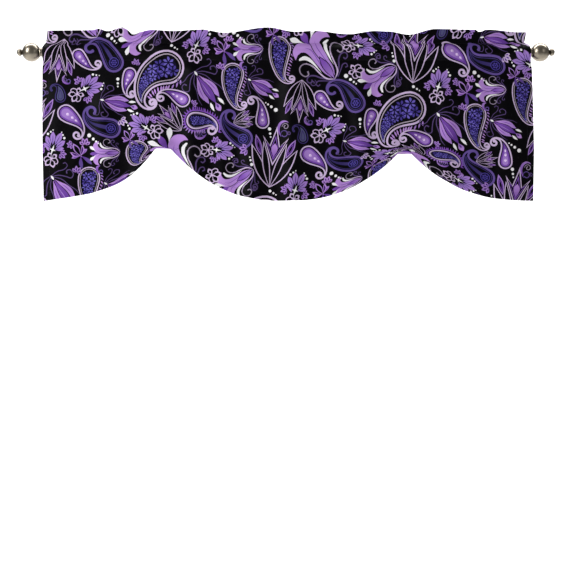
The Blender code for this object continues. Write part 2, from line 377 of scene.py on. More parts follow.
def flutes(x, z):
    """How far the cloth stands forward at (x, z)."""
    forward = np.zeros_like(x)
    for centre, half_width, most, top, depth, slant in FLUTES:
        down = eased((top - z) / depth)
        off = (x - centre - slant * down) / half_width
        forward += most * down * np.exp(-off * off)
    return forward


def puckers(x, z):
    """How far the small folds above the drawn-up places stand forward at (x, z)."""
    forward = np.zeros_like(x)
    for centre, low, half_width, height, most, pitch in PUCKERS:
        up = (z - low) / height
        off = (x - centre) / (half_width * (1 + np.maximum(up, 0.0)))
        fade = np.clip(1 - up, 0, 1) ** 1.5 * np.exp(-off * off) * (up >= 0)
        bend = PUCKER_SLOPE * np.abs(x - centre)
        forward += most * fade * np.sin(math.tau * (z - low + bend) / pitch)
    return forward


def body_y(x, z):
    """y of the cloth below the pocket, which starts level at the seam."""
    hold = eased((POCKET_SEAM - z) / FLUTE_START)
    return -(flutes(x, z) + puckers(x, z)) * hold


def edge_share(s):
    """1 over the side hems, 0 well inside them."""
    inside = np.minimum(s - LEFT, RIGHT - s)
    return eased((SIDE_HEM + EDGE_FROM - inside) / EDGE_OVER)


def pocket_bulge(x, z, puff, shift):
    """Distance of the pocket's cloth from the seams' plane: a lens round the rod, wider at its open ends."""
    end = np.where(z < 0, POCKET_SEAM, HEADER_SEAM)
    lens = 1 - (z / end) ** 2
    left, right = side_edges(z)
    to_edge = np.minimum(x - left, right - x)
    flare = (POCKET_END_DEPTH - POCKET_DEPTH) * eased(1 - to_edge / POCKET_FLARE)
    wave = 0.5 - 0.5 * np.cos(math.tau * (x + shift) / PUFF_PITCH)
    return (POCKET_DEPTH + flare + puff * wave * wave) * lens


def layer_place(s, t):
    """(x, y, z) of the middle of the cloth's thickness, for a place of the panel inside its hem folds."""
    top = eased_through(TOP_EDGE, s)
    edge = edge_share(s)
    half = LAYER / 2 + LAYER * edge
    z = np.where(t < POCKET_SEAM, POCKET_SEAM - hung_depth(POCKET_SEAM - t, s), t)
    up = 1 - np.abs(t - HEADER_FOLD) / (HEADER_FOLD - HEADER_SEAM)
    header_z = HEADER_SEAM + (top - HEADER_SEAM) * up
    z = np.where((t > HEADER_SEAM) & (t < BACK_HEADER_SEAM), header_z, z)
    z = np.where(t >= BACK_HEADER_SEAM, HEADER_SEAM - (t - BACK_HEADER_SEAM), z)
    left, right = side_edges(z)
    x = left + (s - LEFT) / (RIGHT - LEFT) * (right - left)

    back = past_fold(t - HEADER_FOLD) * 2 - 1
    lean = -HEADER_RIPPLE * (top - HEADER_FOLD) * np.clip(up, 0, 1)
    gap = half + (HEADER_GAP - LAYER / 2) * np.sin(math.pi * np.clip(up, 0, 1) / 2)
    header = lean + back * gap
    front_pocket = -half - pocket_bulge(x, z, PUFF_FRONT, 0.0)
    back_pocket = half + pocket_bulge(x, z, PUFF_BACK, PUFF_PITCH / 3)
    settle = eased((POCKET_SEAM - z) / SETTLE)
    body = -half * (1 - settle) + body_y(s, z)
    below = half * (1 - settle) + (LAYER + 2 * LAYER * edge) * settle + body_y(s, z)
    y = np.select(
        [t < POCKET_SEAM, t < HEADER_SEAM, t < BACK_HEADER_SEAM, t < BACK_POCKET_SEAM],
        [body, front_pocket, header, back_pocket],
        below,
    )
    return np.stack([x, y, z], -1)


def folded_back(value, edge, inward):
    """A place past a hem's fold, brought back inside it, with the fold itself rounded."""
    past = (value - edge) * inward
    return edge + inward * (np.sqrt(past**2 + FOLD_ROUND**2) - FOLD_ROUND * np.exp(-np.abs(past)))


def reverse_normal(place, s, t):
    """Unit vector out of the cloth's reverse side at a place of the panel."""
    across = place(s + NORMAL_STEP, t) - place(s - NORMAL_STEP, t)
    along = place(s, t + NORMAL_STEP) - place(s, t - NORMAL_STEP)
    normal = np.cross(across, along)
    length = np.linalg.norm(normal, axis=-1, keepdims=True)
    return -normal / np.maximum(length, 1e-9)


def inner_place(s, t):
    """Where a place lies inside the hem folds, before it is lifted off the layer that it is turned on to."""
    within = folded_back(folded_back(s, LEFT, 1), RIGHT, -1)
    risen = folded_back(t, HEM, 1)
    return within, np.minimum(risen, FLAT_TOP)


def cloth_place(s, t):
    """(x, y, z) of the middle of the cloth's thickness at any place of the flat panel."""
    s, t = np.broadcast_arrays(np.asarray(s, float), np.asarray(t, float))
    within, risen = inner_place(s, t)
    in_side = np.maximum(past_fold(LEFT - s), past_fold(s - RIGHT))
    in_hem = past_fold(HEM - t, HEM_FOLD)
    hem_lift = 1 + 2 * edge_share(within)
    lift = in_side * (1 - in_hem) + in_hem * (1 - in_side) * hem_lift + 2 * in_side * in_hem
    place = layer_place(within, risen)
    inner = np.clip(risen, HEM + 2 * NORMAL_STEP, FLAT_TOP - 2 * NORMAL_STEP)
    normal = reverse_normal(layer_place, within, inner)
    return place + normal * (LAYER * lift)[..., None]


def lines(low, high, close):
    """Places of lattice lines: the close ones, and even steps between them."""
    count = round((high - low) / GRID)
    even = [x for x in np.linspace(low, high, count + 1)[1:-1] if min(abs(x - c) for c in close) > GRID / 3]
    return np.array(sorted([low, high] + even + close))


def panel_lines():
    """The places of the lattice's lines across the panel and up it."""
    across = [fold + off for fold in FOLDS_ACROSS for off in AT_FOLD] + [SPLIT]
    up = [fold + off for fold in FOLDS_UP for off in AT_FOLD]
    up += [seam + off for seam in SEAMS_UP for off in AT_SEAM]
    return lines(FLAT_LEFT, FLAT_RIGHT, across), lines(FLAT_BOTTOM, FLAT_TOP, up)


# ---- The print: drawn in units of PRINT_UNIT, x to the right and y down, as if on the cutting table

def through(points, per=5):
    """A smooth open curve through the points."""
    p = np.array(points, float)
    p = np.vstack([2 * p[0] - p[1], p, 2 * p[-1] - p[-2]])
    u = np.linspace(0, 1, per, endpoint=False)[:, None]
    made = []
    for a, b, c, d in zip(p, p[1:], p[2:], p[3:]):
        first, second, third = (c - a) / 2, a - 2.5 * b + 2 * c - d / 2, 1.5 * (b - c) + (d - a) / 2
        made.append(b + u * first + u**2 * second + u**3 * third)
    return np.vstack(made + [p[-2:-1]])


def unit_along(line):
    """Unit steps along a line, one for each of its points."""
    along = np.gradient(line, axis=0)
    return along / np.maximum(np.linalg.norm(along, axis=1, keepdims=True), 1e-9)


def left_of(along):
    return np.stack([-along[:, 1], along[:, 0]], 1)


def ribbon(line, widths):
    """Outline of a band along a line. The widths are half widths, spread evenly along it."""
    line = np.array(line, float)
    half = np.interp(np.linspace(0, 1, len(line)), np.linspace(0, 1, len(widths)), widths)[:, None]
    off = left_of(unit_along(line)) * half
    return np.vstack([line + off, (line - off)[::-1]])


def leaf(base, tip, half, bend=0.0, fullness=0.5, steps=7):
    """Outline of a pointed leaf from its base to its tip, widest at `fullness` of its length."""
    base, tip = np.array(base, float), np.array(tip, float)
    along = tip - base
    side = np.array([-along[1], along[0]])
    u = np.linspace(0, 1, steps + 1)[:, None]
    width = np.sin(math.pi * u ** (math.log(0.5) / math.log(fullness))) * half / np.hypot(*along)
    middle = base + along * u + side * bend * np.sin(math.pi * u)
    return np.vstack([middle + side * width, (middle - side * width)[-2:0:-1]])


def thinned(outline, most):
    """An outline without the points that lie almost on the line between their neighbours."""
    for _ in range(3):
        before, after = np.roll(outline, 1, 0), np.roll(outline, -1, 0)
        chord, reach = after - before, outline - before
        off = np.abs(chord[:, 0] * reach[:, 1] - chord[:, 1] * reach[:, 0])
        flat = off < most * np.maximum(np.hypot(*chord.T), 1e-9)
        flat[1::2] = False
        if (~flat).sum() >= 3:
            outline = outline[~flat]
    return outline


def filled_in(outline, longest):
    """An outline with points added, so that no side is longer than `longest`."""
    side = np.roll(outline, -1, 0) - outline
    count = np.maximum(1, np.ceil(np.hypot(*side.T) / longest)).astype(int)
    number = np.repeat(np.arange(len(outline)), count)
    share = (np.arange(len(number)) - np.repeat(np.cumsum(count) - count, count)) / count[number]
    return outline[number] + side[number] * share[:, None]


def disc(x, y, radius, steps=10):
    """Outline of a round dot with `steps` corners."""
    t = np.linspace(0, math.tau, steps, endpoint=False)
    return np.stack([x + radius * np.cos(t), y + radius * np.sin(t)], 1)


def polar(angle, distance):
    """The point at an angle in degrees and a distance from the origin."""
    t = math.radians(angle)
    return np.array([distance * math.cos(t), distance * math.sin(t)])


class Drawing:
    """Gathers the shapes of one motif: (outline, paint, far paint, where paint is whole, where far is)."""

    def __init__(self):
        self.shapes = []
        self.base = np.eye(2), np.zeros(2)
        self.place()

    def place(self, x=0.0, y=0.0, turn=0.0, size=1.0):
        """Where the next shapes go, within the motif's own place."""
        matrix, offset = self.base
        c, s = polar(turn, size)
        self.matrix = np.array([[c, s], [-s, c]]) @ matrix
        self.offset = np.array([x, y]) @ matrix + offset

    def settled(self, points):
        return np.array(points, float) @ self.matrix + self.offset

    def put(self, points, paint, far=None, start=(0, 0), end=(1, 0)):
        self.shapes.append((self.settled(points), paint, far, self.settled(start), self.settled(end)))


def spine(length, bend, power, steps, sweep=0.0):
    """A line that sets out along +x, sweeps evenly round and bends more and more, into a curl."""
    u = np.linspace(0, 1, steps + 1)
    heading = np.radians(sweep * u + bend * u**power)
    middle = (heading[1:] + heading[:-1]) / 2
    moves = np.stack([np.cos(middle), np.sin(middle)], 1) * length / steps
    return np.vstack([[0, 0], np.cumsum(moves, 0)])


def drop_widths(line, head, tail, neck):
    """Half widths of a drop at the points of its line: `head` at its start, `tail` from `neck` of it on."""
    u = np.linspace(0, 1, len(line))
    return tail + (head - tail) * (1 - eased(u / neck))


def drop_outline(line, head, tail, neck, inset=0.0, until=1.0):
    """A drop round the line's start, `head` in radius there, narrowing to `tail` at `neck` of its length."""
    half = drop_widths(line, head, tail, neck) - inset
    kept = (half > 0.05) & (np.linspace(0, 1, len(line)) <= until)
    count = len(line) if kept.all() else max(2, int(np.argmin(kept)))
    line, half = line[:count], half[:count]
    off = left_of(unit_along(line)) * half[:, None]
    turns = np.linspace(math.pi / 2, 3 * math.pi / 2, 13)[1:-1]
    cap = half[0] * np.stack([np.cos(turns), np.sin(turns)], 1)
    return np.vstack([cap, line - off, (line + off)[::-1]])


def nested_drops(drawing, line, head, tail, neck, end, *layers):
    """Drops one inside another, as (inset, paint), of which the outermost ends in a dot `end` in radius."""
    for inset, paint in layers:
        drawing.put(drop_outline(line, head, tail, neck, inset), paint)
        if inset == 0:
            drawing.put(disc(*line[-1], end), paint)


def drop(drawing, length, head, bend, power=3.2, neck=0.62):
    """A small paisley: an outlined drop with a bright body."""
    line = spine(length, bend, power, 44)
    nested_drops(drawing, line, head, 1.0, neck, 1.7, (0, "lilac"), (1.4, "ink"), (2.2, "plum"))
    drawing.put(drop_outline(line, head, 1.0, neck, 2.7), "purple", "grape", (-2, 0), (0.5 * length, 0))
    drawing.put(drop_outline(line, head, 1.0, neck, 4.2), "mauve", "purple", (0, 0), (0.4 * length, 0))
    for place, size in ((1, 1.4), (6, 1.2), (10, 0.9)):
        at, ahead = line[place], line[place + 3] - line[place]
        spot = leaf(at - ahead * 0.2, at + ahead * 0.9, size, fullness=0.4)
        drawing.put(spot, "pale", "mauve", at, at + ahead)


def violet(drawing, length, head, bend, power=2.9, neck=0.88):
    """A dim double-lined paisley."""
    line = spine(length, bend, power, 44)
    layers = (0, "violet"), (2.2, "ink"), (3.1, "dusk"), (3.8, "ink")
    nested_drops(drawing, line, head, 1.3, neck, 1.6, *layers)
    drawing.put(ribbon(line[3:26], [2.0, 1.7, 0.9, 0.1]), "dusk", "deep", line[3], line[25])
    drawing.put(disc(0, 0, head - 5.0, 12), "indigo")
    drawing.put(disc(0, 0, head - 5.8, 12), "night")
    for k in range(6):
        drawing.put(disc(*polar(60 * k, 2.2), 1.0, 6), "indigo")
    drawing.put(disc(0, 0, 0.8, 6), "indigo")


def rosette(drawing, x, y, radius, turn, paint, petals):
    """Small leaves round a dark middle."""
    for k in range(petals):
        angle = turn + 360 * k / petals
        root = np.array([x, y]) + polar(angle, radius * 0.18)
        drawing.put(leaf(root, root + polar(angle, radius * 0.85), radius * 0.22, 0.08, 0.6, 4), paint)


def leaves_inside(drawing, line, until, spread):
    """Clusters of small leaves along a paisley's line, over its dark inside."""
    drawing.put(drop_outline(line, spread * 0.95, 0.4, until, 0.0, until), "night")
    distance = np.concatenate([[0], np.cumsum(np.hypot(*np.diff(line, axis=0).T))])
    along, end, k = -spread * 0.35, distance[int(until * len(line))], 0
    ahead_all = unit_along(line)
    while along < end:
        reach = spread * (1 - 0.8 * float(eased(along / end)))
        i = int(np.searchsorted(distance, max(along, 0)))
        ahead = ahead_all[i]
        side = np.array([-ahead[1], ahead[0]])
        at = line[i] + ahead * min(along, 0)
        for way in (-1, 1) if reach > 2.4 else (0,):
            centre = at + side * way * reach * 0.48 + ahead * way * reach * 0.15
            paint = "indigo" if k % 4 in (0, 3) else "blue"
            rosette(drawing, *centre, max(reach * 0.6, 1.6), 37 * k, paint, 6 if reach > 3.5 else 5)
            k += 1
        along += max(reach * 0.8, 1.8)


def fringe(drawing, line, widths, first, last, length, half, count, paint, lean):
    """Pointed leaves that stand on one side of a paisley's outline."""
    along = unit_along(line)
    side = -left_of(along)
    for k in range(count):
        i = round((first + (last - first) * k / (count - 1)) * len(line))
        root = line[i] + side[i] * (widths[i] + 0.8)
        tip = root + side[i] * length + along[i] * length * lean
        drawing.put(leaf(root, tip, half, 0, 0.45, 4), paint)


def paisley(drawing, length, head, bend, power, sweep, neck, line_width):
    """A large paisley: outlined, with a thin inner line, leaves inside and a leafy fringe in its curve."""
    line = spine(length, bend, power, 60, sweep)
    tail = line_width * 0.5 + 0.3
    layers = (0, "lilac"), (line_width, "ink"), (line_width * 1.8, "pearl"), (line_width * 2.3, "ink")
    nested_drops(drawing, line, head, tail, neck, tail * 1.6, *layers)
    leaves_inside(drawing, line, neck * 0.7, (head - line_width * 2.6) * 0.82)
    widths = drop_widths(line, head, tail, neck)
    fringe(drawing, line, widths, 0.02, 0.50, head * 0.27, head * 0.05, 9, "orchid", 0.9)
    for angle in (-101, -114, -127):
        outward, onward = polar(angle, head), polar(angle + 90, head)
        root = outward * 1.06
        drawing.put(leaf(root, root + outward * 0.22 + onward * 0.24, head * 0.05, 0, 0.45, 4), "mauve")


def spiky(drawing, length, head, bend, power=2.6, neck=0.7):
    """A paisley inside a ring of spikes."""
    line = spine(length, bend, power, 50)
    drawing.put(drop_outline(line, head, 1.0, neck, -2.4, 0.62), "purple")
    drawing.put(drop_outline(line, head, 1.0, neck, -1.1, 0.62), "ink")
    fringe(drawing, line, drop_widths(line, head + 1, 1.0, neck), 0.0, 0.6, 4.0, 0.62, 17, "purple", -0.15)
    for k in range(13):
        angle = 95 + 170 * k / 12
        spike = leaf(polar(angle, head * 1.12), polar(angle, head * 1.02 + 5.5), 0.7, 0, 0.4, 4)
        drawing.put(spike, "mauve" if k < 5 else "purple")
    for k in range(5):
        root = np.array([k * 1.8 + 1, head * 1.05])
        drawing.put(leaf(root, root + (0.5, 4.4), 0.7, 0, 0.4, 4), "mauve")
    layers = (0, "lilac"), (1.3, "pearl_dim"), (2.1, "ink"), (3.3, "night")
    nested_drops(drawing, line, head, 1.1, neck, 1.8, *layers)
    leaves_inside(drawing, line, neck * 0.8, head * 0.52)


def small_blue(drawing, length, head, bend):
    """A small round-headed paisley with a blue body."""
    line = spine(length, bend, 2.2, 24)
    layers = (0, "dusk"), (1.1, "ink"), (2.3, "slate"), (3.7, "dusk"), (4.5, "slate")
    nested_drops(drawing, line, head, 1.2, 0.75, 1.4, *layers)


def leaf_ring(drawing, base, tip, half, line, bend=0.0, fullness=0.5, paint="lilac", inside="ink", steps=8):
    """An outlined leaf."""
    base, tip = np.array(base, float), np.array(tip, float)
    along = (tip - base) / np.hypot(*(tip - base)) * line
    drawing.put(leaf(base, tip, half, bend, fullness, steps), paint)
    drawing.put(leaf(base + along * 1.6, tip - along * 2.4, half - line, bend, fullness, steps), inside)


def lotus(drawing):
    """A lotus along +x, 62 long: open outer petals, an inner one of three points, and side buds."""

    def crown(inset, paint):
        """The inner petal's three points, brought in towards its middle."""
        side = np.array([(51 - 2.4 * inset, 13 - 1.6 * inset), (42 - 0.8 * inset, 5 - 0.6 * inset)])
        root, end = np.array([[22 + 2.2 * inset, 0]]), np.array([[62 - 3.6 * inset, 0]])
        drawing.put(np.vstack([root, side * (1, -1), end, side[::-1]]), paint)

    for way in (-1, 1):
        leaf_ring(drawing, (0, 0), polar(29.5 * way, 47), 5.2, 1.1, 0.03 * way, 0.46)
        leaf_ring(drawing, polar(22 * way, 33), polar(21.5 * way, 54.5), 3.1, 1.0, 0.0, 0.5, "mauve", "plum")
        leaf_ring(drawing, polar(22 * way, 38), polar(21.5 * way, 49), 1.6, 0.5, 0.0, 0.5, "purple")
        leaf_ring(drawing, (0, 0), polar(14.5 * way, 47), 3.7, 1.0, 0.01 * way, 0.5)
    for inset, paint in ((0.0, "lilac"), (1.3, "ink"), (2.6, "purple"), (3.5, "ink")):
        crown(inset, paint)
    drawing.put(leaf((30, 0), (44.5, 0), 3.2, 0, 0.6), "purple", "orchid", (29, 0), (44, 0))


def lily(drawing):
    """A lily along +x, about 47 long, with two petals that curl outwards and a spiral on each side."""
    for way in (-1, 1):

        def band(points, widths, *paint):
            drawing.put(ribbon(through(np.array(points) * (1, way)), widths), *paint)

        tendril = [(1, 3), (8, 10.5), (14, 15), (16.5, 20), (14.5, 24), (11, 23.5), (10.5, 20.5)]
        band(tendril + [(12.6, 19.6)], [0.5, 0.8, 0.7, 0.6, 0.6, 0.6], "ash_dim")
        tendril = [(0, 3.5), (5, 11), (7.5, 15), (6.6, 18.5), (3.6, 18), (3.8, 15.4)]
        band(tendril, [0.4, 0.6, 0.5, 0.6], "ash_dim")
        band([(0, 0), (5, 6.6), (14, 9.6), (23, 11.2), (29, 15)], [0.2, 0.8, 0.7, 0.6, 0.4], "lilac")
        curled = [(20, 10.8), (26, 13), (29.5, 17.5), (28.5, 23), (23.5, 25.5), (18.5, 23.5), (18.2, 19.5)]
        band(curled + [(21.5, 18.3)], [0.3, 0.6, 0.6, 0.6, 0.6, 0.6, 0.65, 0.8], "ash")
        petal = [(3, 2.0), (12, 3.8), (22, 3.2), (33, 3.2), (41, 6.2), (44, 12), (42, 18), (37, 21.5)]
        band(petal, [0.6, 2.8, 4.3, 5.4, 6.1, 5.9, 4.2, 0.6], "ink")
        band(petal, [0.1, 2.0, 3.5, 4.6, 5.3, 5.0, 3.2, 0.0], "mauve", "orchid", (5, 0), (46, 16 * way))
        cuff = [(12, 7.6), (22, 8.4), (29, 9.8), (33.5, 13), (35, 17.5), (34.5, 19)]
        band(cuff, [0.0, 0.9, 1.6, 1.8, 1.2, 0.2], "white")
        band([(6, 3.0), (16, 3.8), (26, 3.0), (36, 3.4), (41, 7)], [0.1, 0.35, 0.4, 0.4, 0.1], "purple")
    drawing.put(leaf((0, 0), (27, 0), 4.2, 0, 0.55), "ink")
    drawing.put(leaf((0.5, 0), (26, 0), 3.3, 0, 0.55), "mauve", "purple", (0, 0), (20, 0))


def lily_drops(drawing):
    """The leaf and the two white drops that stand before a lily's mouth."""
    drawing.put(leaf((40, -0.5), (58, -1.0), 3.4, 0, 0.6), "grape", "purple", (38, 0), (56, 0))
    for way in (-1, 1):
        drawing.put(leaf((45, 3.4 * way), (58, 13.5 * way), 3.0, 0, 0.7), "white")


def fuchsia(drawing):
    """A hanging bud along +x, 47 long from its stem to its last petal, with tendrils at the stem."""
    long_curl = [(1, 0.5), (4, 7), (9, 12), (13, 15.5), (11, 19.5), (6, 19.5), (4.5, 16), (7, 14.4)]
    tendrils = (
        # points, half widths
        (long_curl, [0.3, 0.5, 0.5, 0.5, 0.45, 0.5, 0.7]),
        ([(0, 0.5), (0, 8), (2, 14), (1, 19), (-2.5, 19.5), (-3.5, 17)], [0.3, 0.4, 0.4, 0.4, 0.4, 0.6]),
        ([(2, 1), (9, 7), (18, 9.5), (25, 12.5), (32, 13)], [0.3, 0.5, 0.5, 0.4, 0.15]),
    )
    for way in (-1, 1):
        for points, widths in tendrils:
            drawing.put(ribbon(through(np.array(points) * (1, way)), widths), "ash_dim")
    for way in (-1, 1):

        def petal(start, end, half, bend, fullness, steps, *paint):
            ends = np.array([start, end]) * (1, way)
            drawing.put(leaf(*ends, half, bend * way, fullness, steps), *paint)

        petal((4, 0.6), (35, 6.2), 4.2, 0.07, 0.6, 9, "ink")
        petal((5, 0.9), (34.6, 6.1), 3.5, 0.075, 0.6, 9, "orchid", "mauve", (5, 0), (34, 6 * way))
        petal((12, 4.0), (28, 7.4), 0.4, 0.05, 0.5, 6, "purple")
        petal((33.0, 4.2), (44.5, 6.0), 2.1, 0.04, 0.45, 7, "ink")
        petal((34.0, 4.4), (43.5, 6.0), 1.5, 0.04, 0.45, 7, "white")
    drawing.put(leaf((3.5, 0), (39, 0), 4.5, 0, 0.58, 9), "ink")
    drawing.put(leaf((4.5, 0), (37.8, 0), 3.7, 0, 0.58, 9), "purple", "grape", (5, 0), (37, 0))
    drawing.put(leaf((12, 0.8), (30, 0.8), 0.45, 0, 0.5, 6), "mauve")
    drawing.put(leaf((36.5, 0), (47, 0.8), 2.9, 0, 0.6), "orchid", "mauve", (47, 0), (37, 0))
    drawing.put(leaf((38, 0), (43, 0.4), 1.2, 0, 0.6, 5), "grape")
    drawing.put(leaf((-0.5, 0), (5, 0), 1.15, 0, 0.5, 5), "white")


def floret(drawing, paint="plum", rim="mauve"):
    """A tiny tulip along +x, about 10 across, of four outlined petals."""
    for angle, reach, half in ((-54, 6.8, 1.6), (54, 6.8, 1.6), (-17, 8.6, 1.7), (17, 8.6, 1.7)):
        root, tip = polar(angle, 1.0) - (3.0, 0), polar(angle, reach) - (3.0, 0)
        along = tip - root
        drawing.put(leaf(root, tip, half, 0, 0.58, 5), rim)
        drawing.put(leaf(root + along * 0.16, root + along * 0.74, half * 0.5, 0, 0.58, 4), paint)


def blossom(drawing, radius=10.5):
    """An outlined flower: two pointed petals, two short round ones and two that end in a curl."""
    for way in (-1, 1):
        leaf_ring(drawing, (0, 0), polar(27 * way, radius), radius * 0.3, 0.9, 0.0, 0.6, steps=6)
        leaf_ring(drawing, (0, 0), polar(138 * way, radius * 0.72), radius * 0.24, 0.9, 0.0, 0.62, steps=6)
        points = [(0, 1), (-1.4, 4.6), (1.2, 7.6), (4.2, 7.2), (4.4, 4.6), (2.4, 4.2)]
        drawing.put(ribbon(through(np.array(points) * (1, way), 3), [0.4, 0.5, 0.5, 0.6]), "lilac")
    drawing.put(disc(0, 0, 1.3, 7), "lilac")


def star_flower(drawing):
    """A white star with a lobed leaf on its +x side, an outlined flower on the other and florets between."""
    lobes = (
        # angle, root, reach, half width
        (-68, 2.5, 12.5, 2.5),
        (-40, 4.5, 16.8, 3.1),
        (68, 2.5, 12.5, 2.5),
        (40, 4.5, 16.8, 3.1),
        (-13, 5.5, 20.0, 3.0),
        (14, 5.5, 21.5, 3.2),
    )
    drawing.place(-9.5, 1.0, 180)
    blossom(drawing)
    drawing.place()
    for angle, root, reach, half in lobes:
        ends = polar(angle, root), polar(angle, reach)
        drawing.put(leaf(*ends, half + 0.7, 0, 0.55, 6), "ink")
        drawing.put(leaf(*ends, half, 0, 0.55, 6), "iris", "mauve", *ends)
        drawing.put(leaf(ends[0], polar(angle, reach - 3), 0.38, 0, 0.4, 4), "plum")
    for x, y, turn in ((-1.5, -10.8, -100), (-2.2, 11.0, 100)):
        drawing.place(x, y, turn, 0.95)
        floret(drawing)
    drawing.place()
    drawing.put(leaf((-2.5, -3.0), (3, -8.5), 1.3, 0, 0.5, 5), "mauve")
    points = [(angle + 4, (6.1, 1.3, 3.7, 1.3)[k % 4]) for k, angle in enumerate(range(0, 360, 45))]
    drawing.put([polar(*point) for point in points], "white")
    for way in (-1, 1):
        for x, y, radius in ((15.5, 9.2, 1.35), (18.4, 6.8, 1.0), (20.9, 4.8, 0.7)):
            drawing.put(disc(x, y * way, radius, 8), "white")


def spray(drawing):
    """A sprig: one outlined petal along +x, small petals beside it and two dark leaves behind."""
    for angle, reach, bend in ((-152, 13.0, 0.05), (160, 14.0, -0.05)):
        tip = polar(angle, reach)
        drawing.put(leaf((0, 0), tip, 1.9, bend, 0.6), "grape", "violet", (0, 0), tip)
    for way in (-1, 1):
        leaf_ring(drawing, (0, 0), polar(74 * way, 9.5), 1.9, 0.75, -0.1 * way, 0.6, "mauve", "purple")
        leaf_ring(drawing, (0, 0), polar(40 * way, 11.0), 1.7, 0.7, 0.1 * way, 0.6, "orchid", "plum")
    leaf_ring(drawing, (-2, 0), (14.5, 0), 2.9, 0.9, 0.0, 0.6, "mauve")


def hook(drawing, length, bend, power):
    """A curled leaf with a thin curl in its hollow."""
    line = spine(length, bend, power, 16)
    drawing.put(ribbon(line, [0.2, 1.0, 1.7, 1.4, 0.3]), "purple", "mauve", line[0], line[-1])
    inner = spine(length * 0.9, bend * 2.2, 1.2, 14)
    drawing.put(ribbon(inner, [0.2, 0.5, 0.5, 0.6]), "violet")


def dots(drawing, largest, count):
    """A row of white dots along +x, each smaller than the last."""
    x, radius = 0.0, largest
    for _ in range(count):
        drawing.put(disc(x, 0, radius, 12 if radius > 1.3 else 8), "white")
        x += 1.6 * radius * (1 + DOT_SHRINK)
        radius *= DOT_SHRINK


def curl(drawing, radius, turns, paint="ash_dim"):
    """A spiral that winds in from +x."""
    u = np.linspace(0, 1, round(14 * abs(turns)) + 1)
    reach = radius * (1 - 0.74 * u)
    t = math.tau * turns * u
    line = np.stack([reach * np.cos(t), reach * np.sin(t)], 1)
    drawing.put(ribbon(line, [0.3, 0.42, 0.42, 0.55]), paint)


PAINTS = {
    # red, green and blue as they look, 0 to 255
    "ink": (5, 4, 7),
    "night": (18, 14, 42),
    "deep": (42, 36, 88),
    "plum": (70, 38, 110),
    "grape": (96, 58, 146),
    "purple": (124, 78, 174),
    "mauve": (164, 126, 202),
    "orchid": (184, 140, 214),
    "iris": (150, 122, 200),
    "lilac": (202, 180, 216),
    "pale": (236, 214, 244),
    "pearl": (176, 162, 178),
    "pearl_dim": (120, 108, 128),
    "violet": (98, 78, 148),
    "dusk": (62, 52, 108),
    "indigo": (76, 64, 152),
    "blue": (108, 96, 190),
    "slate": (78, 78, 118),
    "ash": (150, 136, 160),
    "ash_dim": (86, 68, 116),
    "white": (238, 236, 240),
}

GRAND = dict(length=85, head=17.0, bend=-460, power=5.5, sweep=-142, neck=0.78, line_width=2.0)
MIDDLING = dict(length=58, head=11.2, bend=-460, power=5.0, sweep=-40, neck=0.8, line_width=1.15)

